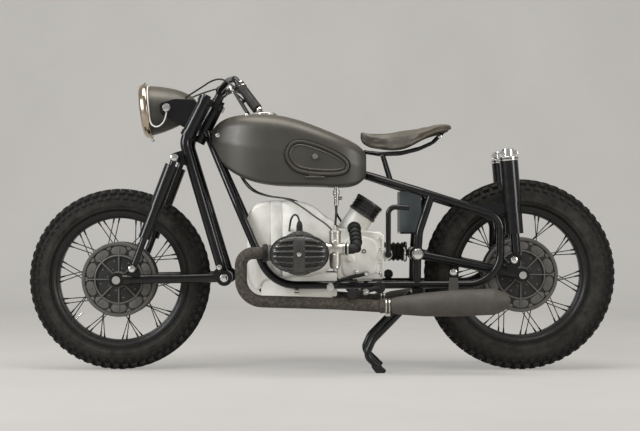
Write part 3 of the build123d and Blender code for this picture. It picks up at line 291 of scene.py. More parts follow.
routes = {
    # control points of the left side in metres; on the right, carburettor and plug stand back by the stagger
    "throttle": [(-0.292, 0.058, 0.694), (-0.266, 0.072, 0.640), (-0.198, 0.092, 0.612),
                 (-0.124, 0.134, 0.606), (-0.068, 0.160, 0.574), (-0.024, 0.192, 0.540),
                 (0.023, 0.222, 0.510), (0.043, 0.236, 0.481)],
    "control": [(-0.292, 0.274, 0.974), (-0.318, 0.246, 0.998), (-0.350, 0.202, 1.013),
                (-0.384, 0.152, 1.009), (-0.416, 0.104, 0.994), (-0.452, 0.064, 0.977),
                (-0.484, 0.034, 0.960)],
    "lamp": [(-0.542, -0.1035, 0.908), (-0.545, -0.105, 0.882), (-0.562, -0.103, 0.858),
             (-0.583, -0.097, 0.853), (-0.600, -0.086, 0.866), (-0.604, -0.090, 0.892),
             (-0.606, -0.094, 0.918), (-0.609, -0.091, 0.944), (-0.612, -0.081, 0.967),
             (-0.614, -0.063, 0.988), (-0.615, -0.042, 1.002), (-0.614, -0.022, 1.000)],
    "stagger": 0.038, "leftCarb": 0.0433, "plugX": -0.077, "plugZ": 0.519,
}
cordSizes = {
    # length on the left, length on the right, diameter
    "throttle": (0.453, 0.481, 0.006), "fuel": (0.165, 0.170, 0.008), "plug": (0.194, 0.194, 0.007),
    "control": (0.324, 0.324, 0.006), "lamp": (0.274, 0.274, 0.005),
}


def buildCord(name, node, points, size, right, body, material):
    length, diameter = cordSizes[size][right], cordSizes[size][2]
    curve = bpy.data.curves.new(name, "CURVE")
    curve.dimensions = "3D"
    spline = curve.splines.new("NURBS")
    spline.points.add(len(points) - 1)
    for control, point in zip(spline.points, points):
        control.co = (*point, 1)
    spline.order_u = 3
    spline.use_endpoint_u = True
    curve.bevel_depth = diameter / 2
    curve.bevel_resolution = 4
    curve.resolution_u = 10
    curve.use_fill_caps = True
    curve.materials.append(material)
    piece = bpy.data.objects.new(name, curve)
    bpy.context.scene.collection.objects.link(piece)
    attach(piece, body)
    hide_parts(node)


def buildCords():
    black, pale = finish["cableBlack"], finish["paleCoat"]
    for side, s, back in (("left", -1, 0), ("right", 1, routes["stagger"])):
        route = [(x + back * n / 7, s * y, z) for n, (x, y, z) in enumerate(routes["throttle"])]
        buildCord("throttle_cable_sheath_" + side, "throttle_cable_" + side, route, "throttle", s > 0,
                  "chassis", black)
        carb = routes["leftCarb"] + back
        route = [(0.050, s * 0.100, 0.582), (0.049, s * 0.108, 0.556),
                 (carb + (0.050 - carb) * 0.5, s * 0.142, 0.530), (carb + 0.001, s * 0.184, 0.505),
                 (carb, s * 0.221, 0.476)]
        buildCord("fuel_hose_line_" + side, "fuel_hose_" + side, route, "fuel", s > 0, "chassis", black)
        x, z = routes["plugX"] + back, routes["plugZ"]
        route = [(x, s * 0.246, z - 0.004), (x - 0.002, s * 0.243, z + 0.018),
                 (x - 0.012, s * 0.225, z + 0.030), (x - 0.024, s * 0.195, z + 0.026),
                 (x - 0.032, s * 0.162, z + 0.008), (x - 0.036, s * 0.128, z - 0.014),
                 (x - 0.038, s * 0.092, z - 0.028)]
        buildCord("plug_lead_line_" + side, "plug_lead_" + side, route, "plug", s > 0, "chassis", black)
    for node, s in (("clutch_cable", -1), ("front_brake_cable", 1)):
        route = [(x, s * y, z) for x, y, z in routes["control"]]
        buildCord(node + "_sheath", node, route, "control", s > 0, "steering", black)
    buildCord("headlight_wire_sheath", "headlight_wire", routes["lamp"], "lamp", False, "steering", pale)


buildCords()
print("cords made")

# Shared making


def toPiece(name, bm, body, materials, sharpAngle=38, replaced=()):
    for face in bm.faces:
        face.smooth = True
    for edge in bm.edges:
        edge.smooth = edge.is_boundary or edge.calc_face_angle(0) < math.radians(sharpAngle)
    mesh = bpy.data.meshes.new(name)
    bm.to_mesh(mesh)
    bm.free()
    for material in materials if isinstance(materials, list) else [materials]:
        mesh.materials.append(material)
    piece = bpy.data.objects.new(name, mesh)
    bpy.context.scene.collection.objects.link(piece)
    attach(piece, body)
    if replaced:
        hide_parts(*replaced)
    return piece


def strip(bm, points):
    # a row of joined points, ready to spin
    verts = [bm.verts.new(p) for p in points]
    return verts + [bm.edges.new(pair) for pair in zip(verts, verts[1:])]


def closeUp(bm, gap=1e-6):
    bmesh.ops.remove_doubles(bm, verts=bm.verts, dist=gap)
    bmesh.ops.recalc_face_normals(bm, faces=bm.faces)


def soften(bm, edges, offset, segments=2):
    bmesh.ops.bevel(bm, geom=edges, offset=offset, affect="EDGES", segments=segments, profile=0.5,
                    material=-1)


def turned(profile, steps=64, closed=False):
    # profile is radius and Y, turned about Y
    bm = bmesh.new()
    points = [(r, y, 0) for r, y in profile]
    geom = strip(bm, points + ([points[0]] if closed else []))
    bmesh.ops.spin(bm, geom=geom, cent=(0, 0, 0), axis=(0, 1, 0), angle=math.tau, steps=steps, use_merge=True)
    closeUp(bm)
    return bm


def mirrored(profile):
    return [(r, -y) for r, y in reversed(profile)]


def pour(target, source, matrix=Matrix.Identity(4), slotIndex=0):
    # copies one bmesh into another through a matrix
    mesh = bpy.data.meshes.new("pour")
    source.to_mesh(mesh)
    mesh.transform(matrix)
    if matrix.determinant() < 0:
        mesh.flip_normals()
    before = len(target.faces)
    target.from_mesh(mesh)
    target.faces.ensure_lookup_table()
    for face in target.faces[before:]:
        face.material_index = slotIndex
    bpy.data.meshes.remove(mesh)


def place(point, outward):
    # local +Y goes to the outward direction
    return Matrix.Translation(Vector(point)) @ Vector(outward).to_track_quat("Y", "Z").to_matrix().to_4x4()


def setDown(bm, point, outward):
    bmesh.ops.transform(bm, verts=bm.verts, matrix=place(point, outward))


def pourTurned(bm, profile, point, outward, steps=48, slotIndex=0, closed=False):
    one = turned(profile, steps, closed)
    pour(bm, one, place(point, outward), slotIndex)
    one.free()


treeCache = {}


def nodeTree(objectName):
    # a search tree over a solid of the frame or a finished piece
    if objectName not in treeCache:
        mesh = bpy.data.objects[objectName].data
        treeCache[objectName] = BVHTree.FromPolygons([v.co for v in mesh.vertices],
                                                     [list(p.vertices) for p in mesh.polygons])
    return treeCache[objectName]


def hexHead(radius, height, dome=True):
    bm = bmesh.new()
    standing = Matrix.Translation((0, height / 2, 0)) @ Matrix.Rotation(math.radians(-90), 4, "X")
    bmesh.ops.create_cone(bm, cap_ends=True, segments=6, radius1=radius, radius2=radius, depth=height,
                          matrix=standing)
    soften(bm, list(bm.edges), radius * 0.09)
    washer = [(0, -0.0003), (radius * 1.25, -0.0003), (radius * 1.3, radius * 0.04),
              (radius * 1.3, radius * 0.12), (radius * 1.22, radius * 0.17), (0, radius * 0.17)]
    pourTurned(bm, washer, (0, 0, 0), (0, 1, 0), 32)
    if dome:
        top = [(radius * 0.62, height * 0.9), (radius * 0.6, height * 1.08),
               (radius * 0.42, height * 1.2), (0, height * 1.27)]
        pourTurned(bm, top, (0, 0, 0), (0, 1, 0), 24)
    return bm


def domedCap(radius, height):
    # a polished round cap with a stepped edge
    return turned([(0, 0), (radius, 0), (radius * 1.02, height * 0.12), (radius, height * 0.45),
                   (radius * 0.93, height * 0.60), (radius * 0.90, height * 0.60),
                   (radius * 0.80, height * 0.82), (radius * 0.5, height * 0.97), (0, height)], 40)


# Wheels

wheels = {
    "front": {"centre": (-0.716, 0, 0.320), "radius": 0.320, "half": 0.050, "rimHalf": 0.033,
              "body": "front_wheel"},
    "rear": {"centre": (0.699, 0, 0.337), "radius": 0.337, "half": 0.055, "rimHalf": 0.037,
             "body": "rear_wheel"},
}
tyreLook = {
    "knobs": 60, "steps": 8, "knobHeight": 0.0108, "draft": 0.0011, "edge": 0.0007, "rimRadius": 0.240,
}


def buildTyre(name, wheel):
    radius, half, rimHalf = wheel["radius"], wheel["half"], wheel["rimHalf"]
    crown = radius - tyreLook["knobHeight"]
    rim = tyreLook["rimRadius"]
    side = [(crown, 0), (crown, 0.06 * half), (crown - 0.0008, 0.41 * half), (crown - 0.003, 0.50 * half),
            (crown - 0.0125, 0.76 * half), (crown - 0.0165, 0.83 * half), (crown - 0.027, 0.93 * half),
            (crown - 0.036, 0.975 * half), (crown - 0.045, 0.985 * half), (rim + 0.024, 0.965 * half),
            (rim + 0.0225, 0.975 * half), (rim + 0.0205, 0.975 * half), (rim + 0.019, 0.95 * half),
            (rim + 0.011, 0.88 * half), (rim + 0.0095, 0.885 * half), (rim + 0.0075, 0.87 * half),
            (rim + 0.0025, rimHalf), (rim - 0.010, rimHalf - 0.005)]
    inner = [(rim - 0.006, rimHalf - 0.011), (rim + 0.020, 0.78 * half), (crown - 0.030, 0.80 * half),
             (crown - 0.010, 0.42 * half)]
    outline = mirrored(side[1:]) + side + inner + [(crown - 0.009, 0)] + mirrored(inner)
    sector = math.tau / tyreLook["knobs"]
    steps = tyreLook["steps"]
    bm = bmesh.new()
    points = [(r, y, 0) for r, y in outline]
    bmesh.ops.spin(bm, geom=strip(bm, points + [points[0]]), cent=(0, 0, 0), axis=(0, 1, 0), angle=sector,
                   steps=steps)
    closeUp(bm)
    # each row of knobs: its band over the half width, its steps round the sector and its side
    rows = [(0.06, 0.41, 0, 5, 1), (0.06, 0.41, 3, 8, -1), (0.50, 0.76, 3, 8, 1), (0.50, 0.76, 0, 5, -1),
            (0.83, 0.93, 0, 4, 1), (0.83, 0.93, 4, 8, -1)]
    for low, high, start, end, sign in rows:
        chosen = []
        for face in bm.faces:
            c = face.calc_center_median()
            reach = math.hypot(c.x, c.z)
            turn = (math.atan2(-c.z, c.x) % math.tau) / sector * steps
            inBand = low * half < sign * c.y < high * half and reach > crown - 0.024
            facesOut = abs(face.normal.dot(c)) > 0.2 * reach and face.normal.dot(Vector((c.x, 0, c.z))) > 0
            if inBand and start < turn < end and facesOut:
                chosen.append(face)
        depth = tyreLook["knobHeight"] if low < 0.8 else 0.005
        bmesh.ops.inset_region(bm, faces=chosen, thickness=tyreLook["draft"], depth=depth,
                               use_even_offset=True)
        rimEdges = [e for f in chosen for e in f.edges if any(g not in chosen for g in e.link_faces)]
        soften(bm, list(dict.fromkeys(rimEdges)), tyreLook["edge"], 1)
    around = tyreLook["knobs"] - 1
    bmesh.ops.spin(bm, geom=bm.verts[:] + bm.edges[:] + bm.faces[:], cent=(0, 0, 0), axis=(0, 1, 0),
                   angle=sector * around, steps=around, use_duplicate=True)
    closeUp(bm, 2e-5)
    bmesh.ops.translate(bm, verts=bm.verts, vec=wheel["centre"])
    rubber = tyreRubber(name + "Rubber", wheel["centre"], (rim + 0.006, crown - 0.03))
    toPiece(name, bm, wheel["body"], rubber, 30, (name,))


hubLook = {
    "radius": 0.132, "faceY": 0.046, "petals": 10, "ribs": 8, "spokes": 40, "spokeRadius": 0.0017,
    "bossRadius": 0.028, "bossY": 0.058,
    # length, radius at the rim and radius at the spoke
    "nipple": (0.016, 0.0024, 0.0034),
}


def raisedPlate(bm, corners, y, height, edge):
    points = [(math.cos(math.radians(a)) * r, y, math.sin(math.radians(a)) * r) for r, a in corners]
    face = bm.faces.new([bm.verts.new(point) for point in points])
    made = bmesh.ops.extrude_face_region(bm, geom=[face])
    top = [v for v in made["geom"] if isinstance(v, bmesh.types.BMVert)]
    bmesh.ops.translate(bm, verts=top, vec=(0, -height, 0))
    edges = [e for e in made["geom"] if isinstance(e, bmesh.types.BMEdge)]
    soften(bm, edges, edge)


def coverFace(bm):
    # the cast cover: rim, petals, inner ring, ribs, pockets and small screws, on the -Y side
    y = -hubLook["faceY"]
    petalPitch, ribPitch = 360 / hubLook["petals"], 360 / hubLook["ribs"]
    shell = turned([(0.012, y - 0.004), (0.030, y - 0.004), (0.032, y + 0.001), (0.080, y + 0.001),
                    (0.081, y - 0.0045), (0.0835, y - 0.0062), (0.087, y - 0.0045), (0.088, y + 0.0005),
                    (0.118, y + 0.0005), (0.120, y - 0.003), (0.128, y - 0.0036), (0.1305, y - 0.002),
                    (0.132, y + 0.001), (0.132, y + 0.006)], 96)
    pour(bm, shell)
    shell.free()
    plates = bmesh.new()
    for i in range(hubLook["petals"]):
        a = petalPitch * (i + 0.5)
        petal = [(0.0905, a - 13), (0.0905, a + 13), (0.103, a + 15.5), (0.1125, a + 12), (0.117, a + 5),
                 (0.117, a - 5), (0.1125, a - 12), (0.103, a - 15.5)]
        raisedPlate(plates, petal, y + 0.0012, 0.0038, 0.0011)
        raisedPlate(plates, [(0.1085, a + 15.4), (0.119, a + 14), (0.119, a + 22), (0.1085, a + 20.6)],
                    y + 0.0012, 0.0026, 0.0008)
    for i in range(hubLook["ribs"]):
        a = ribPitch * i
        rib = [(0.024, a - 5.5), (0.024, a + 5.5), (0.060, a + 2.3), (0.112, a + 1.1), (0.112, a - 1.1),
               (0.060, a - 2.3)]
        raisedPlate(plates, rib, y + 0.0012, 0.0075, 0.0011)
        raisedPlate(plates, [(0.046, a + 9), (0.046, a + 36), (0.0505, a + 37), (0.0505, a + 8)],
                    y + 0.0014, 0.0022, 0.0005)
    bmesh.ops.recalc_face_normals(plates, faces=plates.faces)
    pour(bm, plates)
    plates.free()
    screw = hexHead(0.0032, 0.0024, False)
    for i in range(hubLook["petals"]):
        a = math.radians(petalPitch * (i + 0.5))
        pour(bm, screw, place((math.cos(a) * 0.101, y - 0.0026, math.sin(a) * 0.101), (0, -1, 0)))
    for i in range(hubLook["ribs"]):
        for turn, reach in ((14, 0.066), (31, 0.040)):
            a = math.radians(ribPitch * i + turn)
            pour(bm, screw, place((math.cos(a) * reach, y + 0.001, math.sin(a) * reach), (0, -1, 0)))
    screw.free()


def buildHub(name, wheel):
    bm = bmesh.new()
    r, y, boss, end = hubLook["radius"], hubLook["faceY"], hubLook["bossRadius"], hubLook["bossY"]
    drum = turned([(0.0102, -end), (boss - 0.002, -end), (boss, 0.002 - end), (boss, -y - 0.002),
                   (r, -y + 0.004), (r, -y + 0.012), (r - 0.004, -y + 0.014), (r - 0.024, -y + 0.018),
                   (r - 0.026, -y + 0.024), (r - 0.026, y - 0.024), (r - 0.024, y - 0.018),
                   (r - 0.004, y - 0.014), (r, y - 0.012), (r, y - 0.002), (r - 0.002, y), (0.094, y),
                   (0.088, y + 0.003), (0.060, y + 0.003), (0.050, y), (boss, y), (boss, end - 0.002),
                   (boss - 0.002, end), (0.0102, end)], 96, True)
    pour(bm, drum)
    drum.free()
    coverFace(bm)
    bmesh.ops.translate(bm, verts=bm.verts, vec=wheel["centre"])
    toPiece(name + "_hub", bm, wheel["body"], finish["castBlack"], 32, (name + "_hub",))
    # spokes with their nipples, a quarter of them in each of four rings
    bm = bmesh.new()
    count = hubLook["spokes"] // 4
    pitch = 360 / count
    long, outer, inner = hubLook["nipple"]
    thick = hubLook["spokeRadius"]
    for side in (-1, 1):
        shift = pitch / 8 if side > 0 else 0
        for lean in (-1, 1):
            root = Matrix.Rotation(math.radians(shift), 3, "Y") @ Vector((r - 0.006, side * (y - 0.008), 0))
            turn = Matrix.Rotation(math.radians(-lean * 12 + shift), 3, "Y")
            run = turn @ Vector((tyreLook["rimRadius"] - 0.026, side * 0.007, 0)) - root
            one = bmesh.new()
            aim = run.to_track_quat("Z", "Y").to_matrix().to_4x4()
            for low, high, r1, r2, sides in ((-0.002, run.length, thick, thick, 8),
                                             (run.length - long, run.length + 0.001, outer, inner, 6)):
                middle = root + run.normalized() * (low + high) / 2
                bmesh.ops.create_cone(one, cap_ends=True, segments=sides, radius1=r1, radius2=r2,
                                      depth=high - low, matrix=Matrix.Translation(middle) @ aim)
            ring = bmesh.new()
            start = pitch / 4 if lean > 0 else 0
            for i in range(count):
                pour(ring, one, Matrix.Rotation(math.radians(start + pitch * i), 4, "Y"))
            pour(bm, ring)
            one.free()
            ring.free()
    bmesh.ops.translate(bm, verts=bm.verts, vec=wheel["centre"])
    toPiece(name + "_spokes", bm, wheel["body"], finish["spokeBlack"], 50)


rimLook = {"valveAngle": 222}


def buildRim(name, wheel):
    rim, half = tyreLook["rimRadius"], wheel["rimHalf"]
    outside = [(rim - 0.001, half - 0.0015), (rim, half - 0.0005), (rim - 0.0005, half + 0.001),
               (rim - 0.004, half + 0.0005), (rim - 0.008, half), (rim - 0.0125, half - 0.0035),
               (rim - 0.0155, half - 0.005), (rim - 0.0165, half - 0.011), (rim - 0.018, 0.019),
               (rim - 0.0235, 0.0155), (rim - 0.025, 0.012)]
    inside = [(rim - 0.021, 0.013), (rim - 0.020, 0.016), (rim - 0.014, 0.021),
              (rim - 0.0125, half - 0.008), (rim - 0.010, half - 0.0045), (rim - 0.003, half - 0.0035)]
    loop = outside + mirrored(outside) + mirrored(inside) + inside
    bm = turned(loop, 144, True)
    valve = turned([(0, 0), (0.0042, 0), (0.0042, -0.012), (0.0031, -0.013), (0.0031, -0.026),
                    (0.0036, -0.0262), (0.0036, -0.034), (0.002, -0.036), (0, -0.036)], 16)
    turn = Matrix.Rotation(math.pi - math.radians(rimLook["valveAngle"]), 4, "Y")
    inwards = Matrix.Translation((-(rim - 0.025), 0, 0)) @ Matrix.Rotation(math.radians(90), 4, "Z")
    pour(bm, valve, turn @ inwards, 1)
    valve.free()
    bmesh.ops.translate(bm, verts=bm.verts, vec=wheel["centre"])
    toPiece(name + "_rim", bm, wheel["body"], [finish["satinBlack"], finish["polished"]], 30,
            (name + "_rim",))


for wheelName, wheel in wheels.items():
    buildTyre(wheelName + "_tyre", wheel)
    buildHub(wheelName, wheel)
    buildRim(wheelName, wheel)
print("wheels made")

# Loops and lofts


def loft(bm, rings, capStart=True, capEnd=True):
    loops = []
    for ring in rings:
        verts = [bm.verts.new(point) for point in ring]
        loops.append([bm.edges.new((vert, verts[i - 1])) for i, vert in enumerate(verts)])
    for near, far in zip(loops, loops[1:]):
        bmesh.ops.bridge_loops(bm, edges=near + far)
    for loop, wanted in ((loops[0], capStart), (loops[-1], capEnd)):
        if wanted:
            bmesh.ops.contextual_create(bm, geom=loop)
    bmesh.ops.recalc_face_normals(bm, faces=bm.faces)


def softLoop(corners, rounds=3):
    # cuts the corners of a closed outline again and again
    for _ in range(rounds):
        cut = []
        for i, here in enumerate(corners):
            after = corners[(i + 1) % len(corners)]
            cut += [tuple(a * 0.75 + b * 0.25 for a, b in zip(here, after)),
                    tuple(a * 0.25 + b * 0.75 for a, b in zip(here, after))]
        corners = cut
    return corners


def insetLoop(points, distance):
    moved = []
    for i, (x, z) in enumerate(points):
        before, after = Vector(points[i - 1]), Vector(points[(i + 1) % len(points)])
        along = (after - before).normalized()
        moved.append((x + along.y * distance, z - along.x * distance))
    return moved


def oval(width, height, power=2.7, count=64):
    # a rounded oblong between an ellipse and a box, in X and Z
    points = []
    for i in range(count):
        c, s = math.cos(math.tau * i / count), math.sin(math.tau * i / count)
        points.append((math.copysign(abs(c) ** (2 / power), c) * width / 2,
                       math.copysign(abs(s) ** (2 / power), s) * height / 2))
    return points


def rod(bm, start, end, radius, sides=20, slotIndex=0, edge=0.0):
    start, end = Vector(start), Vector(end)
    one = bmesh.new()
    bmesh.ops.create_cone(one, cap_ends=True, segments=sides, radius1=radius, radius2=radius,
                          depth=(end - start).length)
    if edge:
        rims = [e for e in one.edges if all(len(f.verts) == 4 or len(f.verts) == sides for f in e.link_faces)
                and any(len(f.verts) == sides for f in e.link_faces)]
        soften(one, rims, edge)
    aim = (end - start).to_track_quat("Z", "Y").to_matrix().to_4x4()
    pour(bm, one, Matrix.Translation((start + end) / 2) @ aim, slotIndex)
    one.free()


def block(bm, low, high, edge=0.001, slotIndex=0):
    one = bmesh.new()
    size = [b - a for a, b in zip(low, high)]
    middle = [(a + b) / 2 for a, b in zip(low, high)]
    bmesh.ops.create_cube(one, size=1, matrix=Matrix.Translation(middle) @ Matrix.Diagonal((*size, 1)))
    soften(one, list(one.edges), edge)
    pour(bm, one, Matrix.Identity(4), slotIndex)
    one.free()


# Headlight

lamp = {"centre": (-0.612, 0, 0.917), "tilt": 7, "radius": 0.098}
lampTilt = math.radians(lamp["tilt"])
lampLook = (-math.cos(lampTilt), 0, -math.sin(lampTilt))


def buildHeadlight():
    r = lamp["radius"]
    outside = [(0, -0.1705), (0.008, -0.1697), (0.017, -0.1665), (0.030, -0.1575), (0.042, -0.143),
               (0.054, -0.123), (0.064, -0.101), (0.073, -0.074), (0.080, -0.048), (0.0845, -0.027),
               (0.0868, -0.012), (0.0876, -0.0005)]
    inside = [(h - 0.0018, y * 0.985 + 0.0005) for h, y in reversed(outside[1:])]
    shell = turned(outside + inside + [(0, -0.1685)], 96)
    setDown(shell, lamp["centre"], lampLook)
    toPiece("headlight_shell_skin", shell, "steering", finish["tankPaint"], 40,
            ("headlight_shell",))
    bm = turned([(r - 0.011, -0.0006), (r - 0.001, -0.0006), (r - 0.0002, 0.0004), (r, 0.002),
                 (r, 0.0105), (r - 0.0006, 0.0125), (r - 0.0026, 0.0145), (r - 0.0030, 0.0165),
                 (r - 0.0050, 0.0205), (r - 0.0085, 0.0245), (r - 0.0125, 0.0268), (r - 0.0160, 0.0266),
                 (r - 0.0180, 0.0235), (r - 0.0180, 0.0195), (r - 0.0150, 0.016), (r - 0.0125, 0.004)],
                 128, True)
    block(bm, (-0.009, 0.0035, r - 0.001), (0.009, 0.0115, r + 0.0025), 0.0012)
    setDown(bm, lamp["centre"], lampLook)
    toPiece("headlight_rim_ring", bm, "steering", finish["brassRim"], 35, ("headlight_rim",))
    glass = turned([(0, 0.0312), (0.030, 0.0306), (0.055, 0.0288), (0.072, 0.0258), (0.0785, 0.0228),
                    (0.0795, 0.0205), (0.0795, 0.018), (0.0770, 0.0195), (0.070, 0.0232), (0.054, 0.0262),
                    (0.030, 0.0280), (0, 0.0286)], 96)
    setDown(glass, lamp["centre"], lampLook)
    toPiece("headlight_glass", glass, "steering", finish["lampGlass"], 50, ("headlight_lens",))
    bowl = turned([(0.0795, 0.0165), (0.0770, 0.0060), (0.070, -0.0080), (0.058, -0.0220),
                   (0.042, -0.0330), (0.026, -0.0395), (0.014, -0.042), (0.011, -0.042), (0.011, -0.030),
                   (0.0095, -0.028), (0.006, -0.0275), (0.0085, -0.020), (0.0090, -0.013),
                   (0.0065, -0.0065), (0, -0.004)], 72)
    setDown(bowl, lamp["centre"], lampLook)
    toPiece("headlight_reflector", bowl, "steering", finish["polished"], 50)


buildHeadlight()
print("headlight made")

# Toolbox lid on the tank's left side

lidLook = {
    "corners": [(-0.1385, 0.760), (-0.097, 0.818), (0.005, 0.789), (0.081, 0.750), (0.102, 0.716),
                (0.077, 0.6795), (-0.049, 0.6825), (-0.108, 0.702)],
    # inset from the outline and height over the tank's side, from the gap inwards
    "steps": [(0.0022, 0.0008), (0.0022, 0.0046), (0.0036, 0.0066), (0.0065, 0.0074), (0.0098, 0.0068),
              (0.0118, 0.0046), (0.0132, 0.0026), (0.0160, 0.0022), (0.0176, 0.0040), (0.0196, 0.0050),
              (0.0218, 0.0046), (0.0236, 0.0026), (0.0262, 0.0022), (0.036, 0.0022), (0.047, 0.0022)],
    # the rubber round the lid, and the one in its groove
    "seals": [[(-0.0030, -0.0004), (-0.0030, 0.0016), (-0.0016, 0.0027), (0.0008, 0.0027), (0.0030, 0.0016),
               (0.0030, -0.0004)],
              [(0.0128, 0.0018), (0.0132, 0.0032), (0.0146, 0.0034), (0.0160, 0.0028), (0.0162, 0.0018)]],
    "lock": (-0.024, 0.749), "lockRadius": 0.0095,
    # front and rear end of the hinge, its Y and its Z
    "hinge": (-0.046, -0.006, -0.1505, 0.677),
}


def sideOf(nodeName):
    # the inner face of a thin piece on the left side, as Y over X and Z
    tree = nodeTree(nodes[nodeName].name)

    def height(x, z):
        for share in (1, 0.97, 0.93, 0.88):
            spot = tree.ray_cast(Vector((-0.02 + (x + 0.02) * share, -0.05, 0.745 + (z - 0.745) * share)),
                                 Vector((0, -1, 0)))[0]
            if spot:
                return spot.y
        return -0.146
    return height


def buildLid():
    height = sideOf("toolbox_lid")
    edge = softLoop(lidLook["corners"])
    if insetLoop(edge, 0.01)[0][0] < edge[0][0] and edge[0][0] < 0:
        edge = edge[::-1]

    def ringAt(inset, rise):
        return [(x, height(x, z) - rise, z) for x, z in insetLoop(edge, inset)]

    bm = bmesh.new()
    loft(bm, [ringAt(*step) for step in lidLook["steps"]], False, True)
    verts = [bm.verts.new(point) for point in ringAt(0.003, -0.0004)]
    loop = [bm.edges.new((vert, verts[i - 1])) for i, vert in enumerate(verts)]
    bmesh.ops.bridge_loops(bm, edges=loop + [e for e in bm.edges if e.is_boundary and e not in loop])
    bmesh.ops.contextual_create(bm, geom=loop)
    bmesh.ops.recalc_face_normals(bm, faces=bm.faces)
    for steps in lidLook["seals"]:
        seal = bmesh.new()
        loft(seal, [ringAt(*step) for step in steps])
        pour(bm, seal, slotIndex=2)
        seal.free()
    x, z = lidLook["lock"]
    face = height(x, z) - 0.0022
    r = lidLook["lockRadius"]
    lock = [(0, 0.0044), (0.0035, 0.0044), (0.0042, 0.0030), (0.0060, 0.0030), (0.0064, 0.0042),
            (r - 0.001, 0.0040), (r, 0.0028), (r + 0.0004, -0.0008)]
    pourTurned(bm, lock, (x, face, z), (0, -1, 0), 40, 1)
    # the leaf and barrel of the hinge at its lower edge
    low, high, y, z = lidLook["hinge"]
    rod(bm, (low, y, z), (high, y, z), 0.0035, 20, 0, 0.0006)
    block(bm, (low, y + 0.001, z + 0.002), (high, y + 0.0035, z + 0.0155), 0.0006)
    coats = [finish["tankPaint"], finish["steel"], finish["softRubber"]]
    toPiece("toolbox_lid_skin", bm, "toolbox_lid", coats, 32, ("toolbox_lid",))


buildLid()
print("lid made")

# Saddle

saddle = {
    # X, half width, top at the middle, how far the top falls to its edge, skirt's lower edge
    "stations": [(0.1365, 0.014, 0.833, 0.002, 0.822), (0.1385, 0.024, 0.8385, 0.003, 0.816),
                 (0.1430, 0.030, 0.8400, 0.005, 0.806), (0.1540, 0.036, 0.8380, 0.010, 0.796),
                 (0.1750, 0.042, 0.8345, 0.014, 0.787), (0.2020, 0.053, 0.8350, 0.018, 0.783),
                 (0.2320, 0.064, 0.8375, 0.021, 0.7795), (0.2640, 0.084, 0.8415, 0.022, 0.7795),
                 (0.2960, 0.110, 0.8455, 0.022, 0.785), (0.3240, 0.128, 0.8490, 0.020, 0.797),
                 (0.3500, 0.137, 0.8525, 0.016, 0.811), (0.3760, 0.140, 0.8580, 0.012, 0.824),
                 (0.4000, 0.139, 0.8628, 0.008, 0.832), (0.4240, 0.132, 0.8645, 0.006, 0.838),
                 (0.4400, 0.118, 0.8640, 0.006, 0.842), (0.4495, 0.092, 0.8615, 0.006, 0.846),
                 (0.4530, 0.060, 0.8575, 0.004, 0.849)],
    # foot of each fold above and below, and how far it stands out
    "folds": [(0.176, 0.836, 0.222, 0.782, 0.0055), (0.352, 0.850, 0.306, 0.786, 0.0065),
              (0.262, 0.842, 0.262, 0.780, 0.0022), (0.388, 0.860, 0.372, 0.824, 0.0035)],
    "stitchInset": 0.012, "stitchPitch": 0.0075,
}


def saddleRing(x, half, top, fall, skirt):
    # right round the section: crown, rolled edge, skirt and underside
    edge = top - fall
    hem = min(0.004, (edge - skirt) * 0.2)
    right = [(0.0, top - 0.005), (0.20, top - 0.0035), (0.42, top - 0.0015), (0.62, top - fall * 0.08),
             (0.78, top - fall * 0.30), (0.90, edge + fall * 0.25), (0.955, edge),
             (0.975, edge - (edge - skirt) * 0.12), (0.982, edge - (edge - skirt) * 0.38),
             (0.978, edge - (edge - skirt) * 0.66), (0.985, skirt + hem * 2.2), (1.0, skirt + hem * 1.6),
             (1.0, skirt + hem * 0.5), (0.985, skirt), (0.955, skirt + hem * 0.3),
             (0.94, skirt + (edge - skirt) * 0.42), (0.62, skirt + (edge - skirt) * 0.62),
             (0.30, skirt + (edge - skirt) * 0.68)]
    points = [(x, -y * half, z) for y, z in right]
    points.append((x, 0, right[-1][1]))
    return points + [(x, -y, z) for x, y, z in reversed(points[1:-1])]


